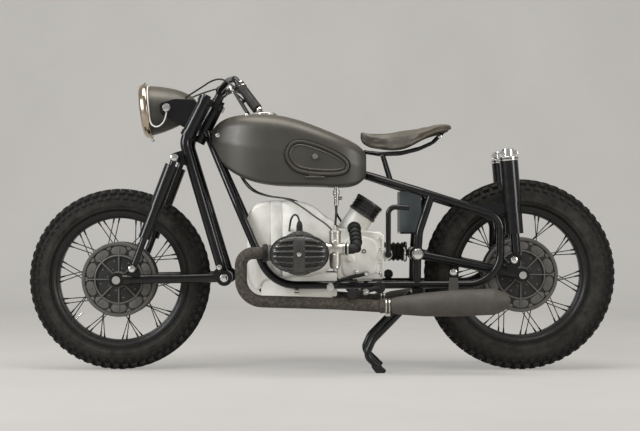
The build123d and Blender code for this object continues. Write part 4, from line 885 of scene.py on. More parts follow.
def buildSaddle():
    bm = bmesh.new()
    loft(bm, [saddleRing(*row) for row in saddle["stations"]])
    # a finer mesh for the folds of the skirt, the seam along the middle and the creases across the seat
    bmesh.ops.subdivide_edges(bm, edges=bm.edges, cuts=1, use_grid_fill=True, smooth=0.6)
    for vert in bm.verts:
        for x1, z1, x2, z2, height in saddle["folds"]:
            # a fold standing out along a slanting line of the skirt
            share = min(1.0, max(0.0, (z1 - vert.co.z) / (z1 - z2)))
            off = vert.co.x - (x1 + (x2 - x1) * share)
            lift = height * (math.exp(-(off / 0.0075) ** 2) - 0.55 * math.exp(-((off + 0.014) / 0.009) ** 2))
            if abs(vert.normal.y) > 0.3 and vert.co.z > 0.779:
                vert.co.y += math.copysign(lift, vert.co.y)
            elif vert.normal.z > 0.4 and abs(vert.co.y) > 0.02:
                vert.co.z += lift * 0.4
        if vert.normal.z > 0.4:
            x, y = vert.co.x, vert.co.y
            vert.co.z -= 0.0016 * math.exp(-((x - 0.235) / 0.02) ** 2)
            if x < 0.40:
                vert.co.z -= 0.0022 * math.exp(-((y / 0.006) ** 2))
            vert.co.z -= 0.0010 * math.sin(x * 190 + abs(y) * 60) * math.exp(-((x - 0.29) / 0.05) ** 2)
    piece = toPiece("saddle", bm, "chassis", finish["saddleLeather"], 60, ("seat",))
    smooth = piece.modifiers.new("smooth", "SUBSURF")
    smooth.levels = smooth.render_levels = 1
    # stitches along the skirt
    bm = bmesh.new()
    stations = saddle["stations"]
    for sign in (-1, 1):
        for near, far in zip(stations[3:-3], stations[4:-2]):
            count = max(1, round((far[0] - near[0]) / saddle["stitchPitch"]))
            for i in range(count):
                ends = []
                for k in (0.15, 0.80):
                    x, y, _, _, hem = [n + (f - n) * (i + k) / count for n, f in zip(near, far)]
                    ends.append((x, sign * (y + 0.0003), hem + saddle["stitchInset"]))
                rod(bm, *ends, 0.0006, 6)
    toPiece("saddle_stitches", bm, "chassis", finish["stitch"], 40)


buildSaddle()
print("saddle made")

# Engine case

engineCase = {
    "outline": [(0.052, 0.330), (0.052, 0.524), (0.020, 0.536), (-0.014, 0.567), (-0.042, 0.585),
                (-0.078, 0.5965), (-0.196, 0.5985), (-0.240, 0.585), (-0.2625, 0.545), (-0.2660, 0.490),
                (-0.2655, 0.345), (-0.250, 0.296), (-0.216, 0.280), (-0.200, 0.330)],
    "half": 0.096,
    "roll": [(0.0, -0.015), (0.0012, -0.009), (0.0042, -0.0042), (0.0085, -0.0012), (0.0140, 0.0)],
    "seams": [-0.139, -0.179], "seamDepth": 0.0020, "seamZ": 0.46, "taper": 0.12, "nose": 0.086,
    "foot": (0.262, 0.345, 0.084),
}
cylinderPlaces = [(-1, -0.077), (1, -0.039)]
crankZ = 0.415


def pourCylinders(bm, one):
    # a left piece and its mirror image, each at its own cylinder
    for sign, x in cylinderPlaces:
        pour(bm, one, Matrix.Translation((x, 0, crankZ)) @ Matrix.Diagonal((1, -sign, 1, 1)))
    one.free()


def buildEngineCase():
    look = engineCase
    edge = softLoop(look["outline"], 2)
    half = look["half"]
    inward = -1 if insetLoop(edge, 0.01)[0][0] > max(x for x, z in edge) - 1e-6 else 1
    near = []
    for inset, rise in reversed(look["roll"]):
        near.append([(x, -(half + rise), z) for x, z in insetLoop(edge, inward * inset)])
    far = [[(x, -y, z) for x, y, z in ring] for ring in reversed(near)]
    bm = bmesh.new()
    loft(bm, near + far)
    for seam in look["seams"]:
        for shift in (-0.0009, 0, 0.0009):
            bmesh.ops.bisect_plane(bm, geom=bm.verts[:] + bm.edges[:] + bm.faces[:],
                                   plane_co=(seam + shift, 0, 0), plane_no=(1, 0, 0))
    for vert in bm.verts:
        if any(abs(vert.co.x - seam) < 1e-5 for seam in look["seams"]):
            vert.co.y *= 1 - look["seamDepth"] / half
            vert.co.z -= math.copysign(look["seamDepth"], vert.co.z - look["seamZ"])
        ahead = look["seams"][1] - vert.co.x
        if ahead > 0:
            vert.co.y *= 1 - look["taper"] * ahead / look["nose"]
    low, high, side = look["foot"]
    block(bm, (-0.214, -side, low), (0.052, side, high), 0.006)
    rod(bm, (-0.088, -0.124, 0.280), (-0.088, 0.124, 0.280), 0.007)
    rod(bm, (-0.088, -0.103, 0.280), (-0.088, 0.103, 0.280), 0.013, 28)
    for sign, x in cylinderPlaces:
        pourTurned(bm, [(0, -0.03), (0.066, -0.03), (0.066, 0.0028), (0.0640, 0.0048), (0, 0.0048)],
                   (x, sign * 0.095, crankZ), (0, sign, 0), 72)
    toPiece("engine_case", bm, "chassis", finish["blastedAlloy"], 34,
            ("crankcase", "front_engine_cover"))


# Rocker covers: an oval shell with a glossy band down its middle and ribs to each side

rocker = {
    "width": 0.190, "height": 0.124, "power": 2.2, "foot": 0.2785, "wall": 0.2990, "crown": 0.3215,
    "lip": 0.0035,
    "ribs": [-0.0435, -0.0265, -0.0090, 0.0090, 0.0265, 0.0435],
    "ribWidth": 0.0050, "ribRise": 0.0082, "band": 0.0205,
    # how far out the ribs and the band may reach
    "ribTop": 0.3298, "bandTop": 0.3292,
}


def rockerY(share):
    # how far out the crown stands, from 1 at its edge to 0 in the middle
    return rocker["wall"] + (rocker["crown"] - rocker["wall"]) * math.sqrt(max(0.0, 1 - share ** 2.3))


def rockerShare(x, z):
    p = rocker["power"]
    return (abs(2 * x / rocker["width"]) ** p + abs(2 * z / rocker["height"]) ** p) ** (1 / p)


def buildRockerCovers():
    look = rocker
    bm = bmesh.new()
    one = bmesh.new()
    edge = oval(look["width"], look["height"], look["power"])
    grow = 1 + 2 * look["lip"] / look["height"]
    rings = [[(x * grow, -y, z * grow) for x, z in edge] for y in (look["foot"], look["foot"] + 0.0045)]
    rings += [[(x * (grow - 0.012), -look["foot"] - 0.0058, z * (grow - 0.012)) for x, z in edge]]
    rings += [[(x, -y, z) for x, z in edge] for y in (look["foot"] + 0.0060, look["wall"])]
    for share in (0.996, 0.98, 0.95, 0.90, 0.83, 0.74, 0.62, 0.48, 0.32, 0.15):
        rings.append([(x * share, -rockerY(share), z * share) for x, z in edge])
    loft(one, rings)
    # ribs, each a ridge whose crest is later coloured as worn metal and a painted highlight
    for z in look["ribs"]:
        for side in (-1, 1):
            stations = []
            for i in range(15):
                share = i / 14
                x = side * (look["band"] - 0.002 + share * (look["width"] / 2 - look["band"] + 0.001))
                lift = z * (1.10 - 0.30 * (abs(x) / (look["width"] / 2)) ** 2)
                reach = rockerShare(x, lift)
                if reach > 0.992:
                    break
                base = rockerY(reach)
                rise = look["ribRise"] * min(1.0, (1 - reach) * 9 + 0.25)
                w = look["ribWidth"]
                section = [(-w, -0.004), (-w, 0.0), (-w * 0.78, rise * 0.62), (-w * 0.45, rise * 0.92),
                           (w * 0.30, rise), (w * 0.58, rise * 0.93), (w * 0.86, rise * 0.60), (w, 0.0),
                           (w, -0.004)]
                top = look["ribTop"]
                stations.append([(x, -min(base + up, top), lift + across) for across, up in section])
            if len(stations) > 2:
                loft(one, stations)
    # the band down the middle
    stations = []
    for i in range(17):
        z = -look["height"] * 0.47 + look["height"] * 0.94 * i / 16
        base = rockerY(rockerShare(0, z))
        b = look["band"]
        section = [(-b, -0.004), (-b, 0.0015), (-b + 0.0018, 0.0046), (0, 0.0056), (b - 0.0018, 0.0046),
                   (b, 0.0015), (b, -0.004)]
        stations.append([(x, -min(base + up, look["bandTop"]), z) for x, up in section])
    loft(one, stations)
    bmesh.ops.recalc_face_normals(one, faces=one.faces)
    pourCylinders(bm, one)
    # bright lines along the crests, only where they face upward: worn bare metal and a painted highlight of
    # the top light
    for face in bm.faces:
        centre = face.calc_center_median()
        if abs(face.normal.y) <= 0.8 or face.calc_area() >= 0.00004 or abs(centre.y) <= 0.306:
            continue
        x = centre.x - (cylinderPlaces[0][1] if centre.y < 0 else cylinderPlaces[1][1])
        if abs(x) > rocker["band"] and len(face.verts) == 4 and face.normal.z < 0.9:
            height = abs(centre.y) - rockerY(rockerShare(x, centre.z - crankZ))
            face.material_index = 1 if height > rocker["ribRise"] * 0.94 and face.normal.z > 0.05 else 0
    toPiece("rocker_cover_shells", bm, "chassis", [finish["coverBlack"], finish["wornEdgeAndHighlight"]], 34,
            ("rocker_covers",))


# Cylinder heads: oval fins round a core, with the ports, the plug's boss and two humps

headLook = {
    "inner": 0.2083, "outer": 0.278, "core": (0.150, 0.104), "fin": (0.197, 0.131), "fins": 7,
    "finThick": 0.0030,
}


def buildHeads():
    look = headLook
    bm, one = bmesh.new(), bmesh.new()
    core = oval(*look["core"], 3.2)
    loft(one, [[(x, -y, z) for x, z in core] for y in (look["inner"], look["outer"] - 0.001)])
    pitch = (look["outer"] - look["inner"]) / look["fins"]
    for i in range(look["fins"]):
        y = look["inner"] + pitch * i
        rings = []
        for depth, shrink in ((0, 0.985), (0.0005, 0.998), (look["finThick"] - 0.0005, 1.0),
                              (look["finThick"], 0.985)):
            rings.append([(x * shrink, -y - depth, z * shrink) for x, z in oval(*look["fin"], 2.35)])
        loft(one, rings)
    rim = oval(rocker["width"] * 1.03, rocker["height"] * 1.045, rocker["power"])
    loft(one, [[(x, -y, z) for x, z in rim] for y in (look["outer"] - 0.007, look["outer"] - 0.0002)])
    for x in (-0.025, 0.025):
        rod(one, (x, -0.262, 0.0580), (x, -0.2895, 0.0580), 0.0122, 32, edge=0.0016)
    rod(one, (-0.067, -0.250, 0.003), (-0.107, -0.250, 0.003), 0.027, 40, edge=0.001)
    rod(one, (0.060, -0.236, 0.016), (0.096, -0.236, 0.016), 0.022, 40, edge=0.001)
    rod(one, (0, -0.246, 0.050), (0, -0.246, 0.078), 0.0125, 32, edge=0.001)
    pourCylinders(bm, one)
    toPiece("finned_heads", bm, "chassis", finish["castBlack"], 34, ("cylinder_heads",))


# Air filter, hoses' clamps, carburettor and plug fittings

filterPlace = {
    "foot": (0.139, 0, 0.547),
    "up": (math.sin(math.radians(34)), 0, math.cos(math.radians(34))),
    "radius": 0.052, "height": 0.060,
}


def buildFilter():
    r, h = filterPlace["radius"], filterPlace["height"]
    profile = [(0, 0), (r - 0.006, 0), (r - 0.002, 0.0012), (r, 0.004), (r, 0.010)]
    for y in (0.0115, 0.0235, 0.0355):
        profile += [(r - 0.0028, y), (r - 0.0028, y + 0.0075), (r - 0.0002, y + 0.0090),
                    (r - 0.0002, y + 0.0105)]
    profile += [(r - 0.0015, 0.0475), (r - 0.0010, 0.0490), (r, 0.0500), (r, 0.0545),
                (r - 0.0015, 0.0575), (r - 0.005, h - 0.0008), (r * 0.6, h), (0.012, h), (0, h)]
    bm = turned(profile, 96)
    setDown(bm, filterPlace["foot"], filterPlace["up"])
    toPiece("air_filter_drum", bm, "chassis", finish["coverBlack"], 30, ("air_filter",))


fittings = {
    # X from the middle of each cylinder, Y from the middle plane, Z over the floor
    "carbX": 0.1203, "carbY": 0.236, "hoseZ": 0.431, "hoseClamps": (0.1485, 0.1610), "carbFlange": 0.0900,
    "hoseEnd": (0.112, 0.0815, 0.500), "plug": (0.246, 0.484), "port": (0.1085, 0.250, 0.418),
    # the exhaust's clamp bands on the engine's own X
    "pipe": (0.200, 0.2357), "pipeClamps": (0.2155, 0.2265),
}


def buildEngineFittings():
    look = fittings
    bright, dark = bmesh.new(), bmesh.new()
    for sign, x in cylinderPlaces:
        carb = x + look["carbX"]
        y = sign * look["carbY"]
        # carburettor: top cap and cable adjuster, nut of the float bowl, round cover, screw, hose clamps
        pourTurned(bright, [(0, 0), (0.0205, 0), (0.0205, 0.0075), (0.0185, 0.0095), (0.0090, 0.0125),
                            (0.0060, 0.0130), (0.0060, 0.0200), (0.0042, 0.0215), (0.0042, 0.0270),
                            (0, 0.0270)], (carb, y, 0.4845), (0, 0, 1), 40)
        bowlNut = [(0, 0), (0.0155, 0), (0.0165, 0.002), (0.0165, 0.009), (0.010, 0.012),
                   (0.0065, 0.0125), (0.0065, 0.018), (0, 0.018)]
        pourTurned(bright, bowlNut, (carb, y, 0.3755), (0, 0, -1), 36)
        cover = [(0, 0), (0.0095, 0), (0.0100, 0.001), (0.0100, 0.006), (0.0080, 0.0075),
                 (0.0045, 0.0078), (0, 0.0070)]
        pourTurned(bright, cover, (carb, y + sign * 0.0190, 0.452), (0, sign, 0), 28)
        pourTurned(bright, [(0, 0), (0.0065, 0), (0.0065, 0.005), (0.0045, 0.0065), (0, 0.0065)],
                   (carb - 0.002, y + sign * 0.0190, 0.408), (0, sign, 0), 20)
        for at in look["hoseClamps"]:
            pourTurned(bright, [(0.0195, 0), (0.0222, 0), (0.0222, 0.0045), (0.0195, 0.0045)],
                       (x + at, y, look["hoseZ"]), (1, 0, 0), 40, closed=True)
        pourTurned(bright, [(0.0205, 0), (0.0240, 0.0004), (0.0240, 0.0050), (0.0205, 0.0055)],
                   (x + look["carbFlange"], y, look["hoseZ"]), (1, 0, 0), 40, closed=True)
        # the ring where the hose enters the intake housing
        housingX, housingY, housingZ = look["hoseEnd"]
        pourTurned(dark, [(0.0172, 0), (0.0235, 0), (0.0240, 0.003), (0.0225, 0.0065), (0.0172, 0.0070)],
                   (housingX, sign * housingY, housingZ), (0, sign, 0), 48, closed=True)
        # plug boot with its bright base
        plugY, plugZ = look["plug"]
        pourTurned(bright, [(0, -0.006), (0.0118, -0.006), (0.0118, 0.0), (0.0105, 0.0015), (0, 0.0015)],
                   (x, sign * plugY, plugZ), (0, 0, 1), 6)
        boot = [(0, 0), (0.0112, 0), (0.0116, 0.003), (0.0106, 0.006), (0.0106, 0.012), (0.0114, 0.0135),
                (0.0106, 0.016), (0.0106, 0.022), (0.0113, 0.0235), (0.0104, 0.026), (0.0085, 0.034),
                (0.0062, 0.040), (0.0040, 0.042), (0, 0.042)]
        pourTurned(dark, boot, (x, sign * plugY, plugZ + 0.001), (0, 0, 1), 36)
        # exhaust: nut at the port, clamp bands and their bolt
        portX, portY, portZ = look["port"]
        pipeY, pipeZ = sign * look["pipe"][0], look["pipe"][1]
        portNut = [(0.0206, 0), (0.0300, 0.0006), (0.0310, 0.003), (0.0310, 0.013), (0.0290, 0.0158),
                   (0.0206, 0.0165)]
        pourTurned(dark, portNut, (x - portX, sign * portY, portZ), (-1, 0, 0), 14, closed=True)
        for at in look["pipeClamps"]:
            pourTurned(bright, [(0.0238, 0), (0.0256, 0.0004), (0.0256, 0.0046), (0.0238, 0.0050)],
                       (at, pipeY, pipeZ), (1, 0, 0), 48, closed=True)
        block(bright, (0.2150, pipeY - 0.006, 0.2010), (0.2325, pipeY + 0.006, 0.2135), 0.0012)
        rod(bright, (0.224, pipeY - sign * 0.017, 0.2065), (0.224, pipeY + sign * 0.017, 0.2065), 0.0055,
            6, edge=0.0006)
    toPiece("engine_bright_fittings", bright, "chassis", finish["satinAlloy"], 32)
    toPiece("engine_dark_fittings", dark, "chassis", finish["softRubber"], 32)


gearboxSide = {
    "outline": [(0.066, 0.336), (0.066, 0.446), (0.100, 0.474), (0.176, 0.468), (0.196, 0.440),
                (0.196, 0.344), (0.150, 0.330), (0.100, 0.330)],
    "faceY": 0.082, "rise": 0.0050, "boss": (0.098, 0.395), "plug": (0.146, 0.420),
}


def buildGearboxSide():
    look = gearboxSide
    bm, dark = bmesh.new(), bmesh.new()
    edge = softLoop(look["outline"])
    inward = 1 if max(x for x, z in insetLoop(edge, 0.01)) < max(x for x, z in edge) else -1
    for sign in (-1, 1):
        y = look["faceY"]
        rings = []
        for inset, rise in ((0, -0.004), (0, 0.0008), (0.0016, 0.0034), (0.0045, look["rise"]),
                            (0.012, look["rise"] + 0.0008)):
            rings.append([(x, sign * (y + rise), z) for x, z in insetLoop(edge, inward * inset)])
        loft(bm, rings)
        x, z = look["boss"]
        boss = [(0, 0), (0.0185, 0), (0.0180, 0.006), (0.0150, 0.0072), (0.0145, 0.0120),
                (0.0105, 0.0132), (0.0100, 0.0165), (0.0085, 0.0180), (0, 0.0182)]
        pourTurned(bm, boss, (x, sign * y, z), (0, sign, 0), 48)
        x, z = look["plug"]
        plug = [(0.0042, 0.0085), (0.0042, 0.0102), (0.0066, 0.0102), (0.0072, 0.0090), (0.0072, 0.0040),
                (0.0042, 0.0040)]
        pourTurned(dark, plug, (x, sign * y, z), (0, sign, 0), 36, closed=True)
        # end flange towards the frame, with its ribs
        for z in (0.345, 0.385, 0.425, 0.462):
            block(bm, (0.190, sign * y - 0.003, z - 0.0026), (0.2155, sign * y + 0.0065, z + 0.0026), 0.001)
        block(bm, (0.2085, min(sign * 0.070, sign * 0.0885), 0.330),
              (0.2165, max(sign * 0.070, sign * 0.0885), 0.478), 0.0015)
    bmesh.ops.recalc_face_normals(bm, faces=bm.faces)
    toPiece("gearbox_sides", bm, "chassis", finish["blastedAlloy"], 34)
    toPiece("gearbox_plugs", dark, "chassis", finish["softRubber"], 34)


buildGearboxSide()
buildEngineCase()
buildRockerCovers()
buildHeads()
buildFilter()
buildEngineFittings()
print("engine dressed")

# Tops of the rear shock towers, ring of the gaiter, pegs' rubbers and the gear lever's toe

tower = {"slope": 32 / 391, "foot": (0.676, 0.398), "y": 0.115, "capZ": 0.736}


def towerX(z):
    return tower["foot"][0] + (tower["foot"][1] - z) * tower["slope"]


def buildSmallParts():
    bright, dark = bmesh.new(), bmesh.new()
    for sign in (-1, 1):
        y = sign * tower["y"]
        up = Vector((-tower["slope"], 0, 1)).normalized()
        foot = (towerX(tower["capZ"]), y, tower["capZ"])
        pourTurned(bright, [(0, -0.0005), (0.0345, -0.0005), (0.0350, 0.0008), (0.0350, 0.0040),
                            (0.0335, 0.0055), (0.0335, 0.0070), (0.0350, 0.0085), (0.0350, 0.0120),
                            (0.0330, 0.0140), (0.0260, 0.0150), (0.0225, 0.0165), (0.0225, 0.0330),
                            (0.0205, 0.0405), (0.0140, 0.0425), (0.0085, 0.0430), (0.0085, 0.0390),
                            (0, 0.0390)], foot, up, 64)
        for shift in (-0.0215, 0.0215):
            x = towerX(0.757) + shift
            nut = [(0, -0.006), (0.0125, -0.006), (0.0125, 0.006), (0.0112, 0.0072), (0.0060, 0.0074),
                   (0.0050, 0.0060), (0, 0.0060)]
            pourTurned(bright, nut, (x, y, 0.7600), (math.copysign(1, shift), 0, 0), 32)
            rod(bright, (x, y - 0.019, 0.7600), (x, y + 0.019, 0.7600), 0.0095, 24, edge=0.0012)
    # ring at the rear of the gaiter, then the pegs' rubbers and the toe of the gear lever
    pourTurned(bright, [(0.0300, 0), (0.0372, 0.0004), (0.0380, 0.002), (0.0380, 0.007), (0.0365, 0.0088),
                        (0.0300, 0.0090)], (0.293, 0.080, 0.415), (1, 0, 0), 56, closed=True)
    for sign in (-1, 1):
        ribs = [(0, 0), (0.0145, 0), (0.0155, 0.001)]
        for i in range(8):
            y = 0.0085 * i
            ribs += [(0.0158, 0.0045 + y), (0.0158, 0.0085 + y), (0.0143, 0.0092 + y), (0.0143, 0.0118 + y)]
        ribs += [(0.0158, 0.0735), (0.0150, 0.0755), (0, 0.0757)]
        pourTurned(dark, ribs, (0.102, sign * 0.1840, 0.279), (0, sign, 0), 32)
    pourTurned(bright, [(0, 0), (0.0122, 0), (0.0132, 0.002), (0.0132, 0.050), (0.0118, 0.0525),
                        (0, 0.053)], (0.028, -0.157, 0.300), (0, -1, 0), 36)
    toPiece("bright_small_parts", bright, "chassis", finish["polished"], 32)
    toPiece("peg_rubbers", dark, "chassis", finish["softRubber"], 32)


buildSmallParts()

# Fuel cap, and the bright bits of the handlebar and headlight

fuelCap = {"centre": (-0.204, 0, 0.900), "radius": 0.0430, "top": 0.0118, "flutes": 24}
barEnd = {
    "perch": (-0.273, 0.276, 0.981), "run": (0.536, 0.450, -0.714), "lever": (-0.72, 0, -0.45),
    "reach": 0.108, "gripEnd": 0.115,
}


def buildFuelCap():
    r, top = fuelCap["radius"], fuelCap["top"]
    bm = turned([(0, -0.006), (r - 0.003, -0.006), (r - 0.003, 0.001), (r, 0.002), (r, 0.0075),
                 (r - 0.0015, 0.0092), (r - 0.006, 0.0100), (r - 0.010, 0.0088), (r - 0.013, 0.0098),
                 (0.014, top), (0, top)], 96)
    for i in range(fuelCap["flutes"]):
        a = math.tau * i / fuelCap["flutes"]
        x, z = math.cos(a) * (r - 0.0006), math.sin(a) * (r - 0.0006)
        rod(bm, (x, 0.0026, z), (x, 0.0074, z), 0.0022, 10, edge=0.0004)
    setDown(bm, fuelCap["centre"], (0, 0, 1))
    toPiece("fuel_cap_fluted", bm, "chassis", finish["satinAlloy"], 32, ("fuel_cap",))


def buildBarBits():
    bright = bmesh.new()
    for sign in (-1, 1):
        perch = Vector((barEnd["perch"][0], sign * barEnd["perch"][1], barEnd["perch"][2]))
        run = Vector((barEnd["run"][0], sign * barEnd["run"][1], barEnd["run"][2])).normalized()
        lever = Vector(barEnd["lever"]).normalized()
        for along in (-0.0095, 0.0060):
            ring = [(0.0115, 0), (0.0158, 0), (0.0165, 0.0008), (0.0165, 0.0032), (0.0158, 0.0040),
                    (0.0115, 0.0040)]
            pourTurned(bright, ring, perch + run * along, run, 40, closed=True)
        pivot = perch + lever * 0.033
        across = run.cross(lever).normalized()
        for way in (-1, 1):
            pourTurned(bright, [(0, -0.004), (0.0052, -0.004), (0.0052, 0.0022), (0.0042, 0.0032),
                                (0, 0.0034)], pivot + across * way * 0.0060, across * way, 24)
        pourTurned(bright, [(0, 0), (0.0048, 0), (0.0048, 0.0060), (0.0038, 0.0070), (0.0038, 0.0140),
                            (0, 0.0140)], pivot - run * 0.006, -run, 20)
        tip = perch + lever * 0.044 + run * barEnd["reach"]
        pourTurned(bright, [(0, -0.0064), (0.0035, -0.0056), (0.0056, -0.0032), (0.0064, 0),
                            (0.0056, 0.0032), (0.0035, 0.0056), (0, 0.0064)], tip, run, 28)
        pourTurned(bright, [(0, -0.003), (0.0106, -0.003), (0.0114, 0.0006), (0.0114, 0.0046),
                            (0.0100, 0.0062), (0, 0.0070)], perch + run * barEnd["gripEnd"], run, 36)
    # the screw that holds the headlight's rim
    pourTurned(bright, [(0, 0), (0.0038, 0), (0.0038, 0.010), (0.0066, 0.0108), (0.0066, 0.0145),
                        (0.0050, 0.0160), (0, 0.0162)], (-0.604, 0, 0.823), (0.25, 0, -1), 24)
    toPiece("handlebar_bright_bits", bright, "steering", finish["polished"], 32)


buildFuelCap()
buildBarBits()
print("small parts made")

# Bright bolts, caps and nuts, one piece for each body

bothSides, leftOnly, rightOnly = (-1, 1), (-1,), (1,)
boltHeads = {
    # kind, sides, place with its distance from the middle plane as Y, radius, height
    "steering": [("cap", bothSides, (-0.339, 0.158, 0.329), 0.0145, 0.012),
                 ("cap", bothSides, (-0.356, 0.158, 0.366), 0.0095, 0.008),
                 ("cap", bothSides, (-0.510, 0.158, 0.745), 0.0140, 0.012),
                 ("cap", bothSides, (-0.656, 0.160, 0.361), 0.0130, 0.011),
                 ("cap", bothSides, (-0.542, 0.110, 0.920), 0.0145, 0.009)],
    "chassis": [("cap", bothSides, (0.331, 0.152, 0.411), 0.0200, 0.011),
                ("cap", bothSides, (-0.088, 0.124, 0.280), 0.0105, 0.008),
                ("cap", bothSides, (0.150, 0.124, 0.282), 0.0105, 0.008),
                ("cap", bothSides, (0.455, 0.128, 0.348), 0.0130, 0.010),
                ("cap", leftOnly, (0.664, 0.158, 0.391), 0.0130, 0.011),
                ("cap", rightOnly, (0.664, 0.168, 0.391), 0.0130, 0.011),
                ("cap", leftOnly, (-0.077, 0.329, 0.415), 0.0080, 0.007),
                ("cap", rightOnly, (-0.039, 0.329, 0.415), 0.0080, 0.007),
                ("cap", leftOnly, (0.098, 0.090, 0.395), 0.0100, 0.007),
                ("hex", leftOnly, (0.118, 0.090, 0.348), 0.0055, 0.005),
                ("cap", leftOnly, (0.153, 0.148, 0.345), 0.0085, 0.006),
                ("cap", leftOnly, (-0.366, 0.090, 0.827), 0.0090, 0.007),
                ("cap", leftOnly, (0.412, 0.100, 0.822), 0.0075, 0.006)]
    + [("hex", leftOnly, (0.202, 0.082, z), 0.0045, 0.004) for z in (0.462, 0.425, 0.385, 0.345)],
}


def surfaceAlong(point, outward, names, foot, reach=0.08):
    # slides a fitting along its own axis to the outermost surface, or to the face round a bore
    for beside in (Vector((0, 0, 0)), Vector((0, 0, foot)), Vector((0, 0, -foot))):
        start = Vector(point) + Vector(outward) * reach
        hits = [nodeTree(name).ray_cast(start + beside, -Vector(outward), reach * 2.4)[0] for name in names]
        hits = [spot - beside for spot in hits if spot]
        if hits:
            return min(hits, key=lambda spot: (spot - start).length)
    return None


def buildBolts():
    bodyNodes = frame["record"]["behaviour"]["bodies"]
    for body, heads in boltHeads.items():
        bm = bmesh.new()
        seen = [nodes[n].name for n in bodyNodes[body] if n != "rocker_covers"]
        if body == "chassis":
            seen.append("rocker_cover_shells")
        for kind, sides, (x, y, z), radius, height in heads:
            one = domedCap(radius, height) if kind == "cap" else hexHead(radius, height)
            for sign in sides:
                point, outward = (x, sign * y, z), (0, sign, 0)
                spot = surfaceAlong(point, outward, seen, radius * 0.8)
                if spot is None:
                    print("bolt in the air:", body, point)
                pour(bm, one, place(spot or point, outward))
            one.free()
        toPiece(body + "_bright_bolts", bm, body, finish["polished"], 35)


buildBolts()
print("bolts made")

# Finishes of the nodes that stay

nodeFinish = {
    "frameGloss": ["main_frame", "shock_towers", "rear_shocks", "rear_swingarm", "final_drive", "top_yoke",
                   "lower_yoke", "fork_legs", "front_swingarm", "front_shocks", "headlight_ears",
                   "seat_frame", "centre_stand", "gear_lever", "brake_pedal", "handlebar", "kick_starter"],
    "blastedAlloy": ["crankcase", "front_engine_cover", "oil_sump", "gearbox"],
    "satinAlloy": ["carburettors"],
    "castBlack": ["cylinders", "rocker_covers", "cylinder_heads"],
    "brassRim": ["headlight_rim"],
    "polished": ["fuel_cap", "front_axle", "rear_axle"],
    "satinBlack": ["air_filter", "front_hub", "rear_hub", "front_rim", "rear_rim", "control_levers"],
    "steel": ["fuel_taps"],
    "tankPaint": ["fuel_tank", "toolbox_lid", "headlight_shell"],
    "muffler": ["mufflers"], "wrapCloth": ["exhaust_pipes"],
    "softRubber": ["grips", "footpegs", "drive_gaiter", "intake_hoses", "front_tyre", "rear_tyre", "seat"],
    "lampGlass": ["headlight_lens"], "batteryGrey": ["battery_box"],
    "cableBlack": frame["record"]["physics"]["cord_nodes"],
}
for finishName, names in nodeFinish.items():
    for nodeName in names:
        node = nodes[nodeName]
        node.data.materials.clear()
        node.data.materials.append(finish[finishName])
unfinished = set(nodes) - {n for names in nodeFinish.values() for n in names}
print("nodes without a finish:", unfinished)

# Stage and light

stageLook = {
    "colour": (0.60, 0.585, 0.56), "brightness": 1.0, "glow": 0.55, "front": -16, "wallY": 4.2,
    "wallTop": 6, "halfWidth": 14, "curve": 0.9,
}
lights = {
    # place, aim, size, power, colour
    "overhead": ((-0.2, -0.6, 3.2), (0, 0, 0.5), (3.2, 1.4), 80, (1.0, 0.96, 0.90)),
    "leftWindow": ((-3.4, -2.2, 2.0), (-0.4, 0, 0.5), (1.4, 2.2), 100, (0.97, 0.985, 1.0)),
    "rightFill": ((3.4, -2.6, 1.6), (0.4, 0, 0.4), (1.4, 2.0), 62, (1.0, 0.985, 0.96)),
}
# what lights the motorcycle from all round, and what the camera sees beyond the floor's edge
roomLook = {"light": (0.93, 0.93, 0.93, 1), "lightStrength": 0.34, "seen": (0.50, 0.49, 0.47, 1)}


def paleSurface(name, colour, brightness, share):
    mat, tree, shader = newMaterial(name, {"Roughness": 0.85, "Specular IOR Level": 0.2})
    stains = ramp(tree, noise(tree, 1.3, 6, 0.6), [(0.3, [c * 0.94 for c in colour]), (0.7, colour)])
    tree.links.new(stains, shader.inputs["Base Color"])
    # seen, mirrored and through glass, the backdrop shows at its own brightness
    path = tree.nodes.new("ShaderNodeLightPath")
    seen = maths(tree, "MAXIMUM", path.outputs["Is Camera Ray"],
                 maths(tree, "MAXIMUM", path.outputs["Is Glossy Ray"], path.outputs["Is Transmission Ray"]))
    glow = tree.nodes.new("ShaderNodeEmission")
    tree.links.new(stains, glow.inputs["Color"])
    glow.inputs["Strength"].default_value = brightness
    blend = tree.nodes.new("ShaderNodeMixShader")
    tree.links.new(maths(tree, "MULTIPLY", seen, share), blend.inputs["Fac"])
    tree.links.new(shader.outputs[0], blend.inputs[1])
    tree.links.new(glow.outputs[0], blend.inputs[2])
    # from behind it is clear, so the other side of the motorcycle can be seen
    geo = tree.nodes.new("ShaderNodeNewGeometry")
    clear = tree.nodes.new("ShaderNodeBsdfTransparent")
    side = tree.nodes.new("ShaderNodeMixShader")
    tree.links.new(geo.outputs["Backfacing"], side.inputs["Fac"])
    tree.links.new(blend.outputs[0], side.inputs[1])
    tree.links.new(clear.outputs[0], side.inputs[2])
    tree.links.new(side.outputs[0], tree.nodes["Material Output"].inputs["Surface"])
    return mat


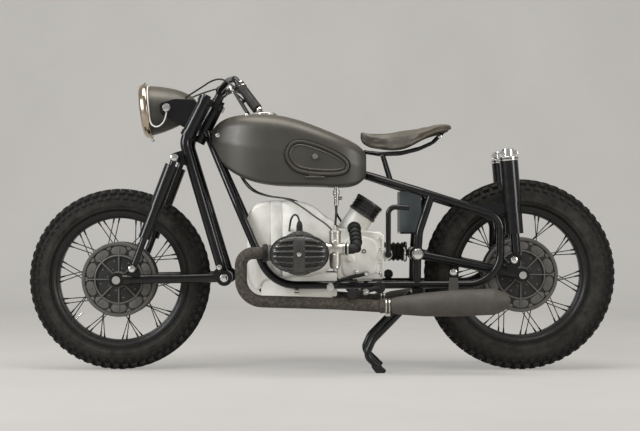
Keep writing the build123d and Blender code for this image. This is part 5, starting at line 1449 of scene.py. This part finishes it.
def buildStage():
    s = stageLook
    bm = bmesh.new()
    bend = [(math.sin(a) * s["curve"] + s["wallY"] - s["curve"], s["curve"] - math.cos(a) * s["curve"])
            for a in [math.radians(9 * i) for i in range(11)]]
    line = [(s["front"], 0)] + bend + [(s["wallY"], s["wallTop"])]
    strip(bm, [(-s["halfWidth"], y, z) for y, z in line])
    made = bmesh.ops.extrude_edge_only(bm, edges=bm.edges[:])
    bmesh.ops.translate(bm, verts=[v for v in made["geom"] if isinstance(v, bmesh.types.BMVert)],
                        vec=(2 * s["halfWidth"], 0, 0))
    bmesh.ops.recalc_face_normals(bm, faces=bm.faces)
    bm.normal_update()
    # the floor has to look up, and with it the wall looks at the camera
    if sum(face.normal.z * face.calc_area() for face in bm.faces) < 0:
        bmesh.ops.reverse_faces(bm, faces=bm.faces)
    for face in bm.faces:
        face.smooth = True
    mesh = bpy.data.meshes.new("studio")
    bm.to_mesh(mesh)
    bm.free()
    studio = bpy.data.objects.new("studio", mesh)
    mesh.materials.append(paleSurface("studioPale", s["colour"], s["brightness"], s["glow"]))
    bpy.context.scene.collection.objects.link(studio)


def areaLight(name, spot, aim, size, power, colour):
    light = bpy.data.lights.new(name, "AREA")
    light.shape = "RECTANGLE"
    light.size, light.size_y = size
    light.energy = power
    light.color = colour
    holder = bpy.data.objects.new(name, light)
    holder.location = spot
    holder.rotation_euler = (Vector(aim) - Vector(spot)).to_track_quat("-Z", "Y").to_euler()
    bpy.context.scene.collection.objects.link(holder)


buildStage()
for lightName, settings in lights.items():
    areaLight(lightName, *settings)
world = bpy.data.worlds.new("studioWorld")
bpy.context.scene.world = world
world.use_nodes = True
worldTree = world.node_tree
background = worldTree.nodes["Background"]
background.inputs["Color"].default_value = roomLook["light"]
background.inputs["Strength"].default_value = roomLook["lightStrength"]
room = worldTree.nodes.new("ShaderNodeBackground")
room.inputs["Color"].default_value = roomLook["seen"]
room.inputs["Strength"].default_value = 1.0
sight = worldTree.nodes.new("ShaderNodeLightPath")
pick = worldTree.nodes.new("ShaderNodeMixShader")
worldTree.links.new(sight.outputs["Is Camera Ray"], pick.inputs["Fac"])
worldTree.links.new(background.outputs[0], pick.inputs[1])
worldTree.links.new(room.outputs[0], pick.inputs[2])
worldTree.links.new(pick.outputs[0], worldTree.nodes["World Output"].inputs["Surface"])

bpy.context.scene.view_settings.view_transform = "Standard"
print("stage set")
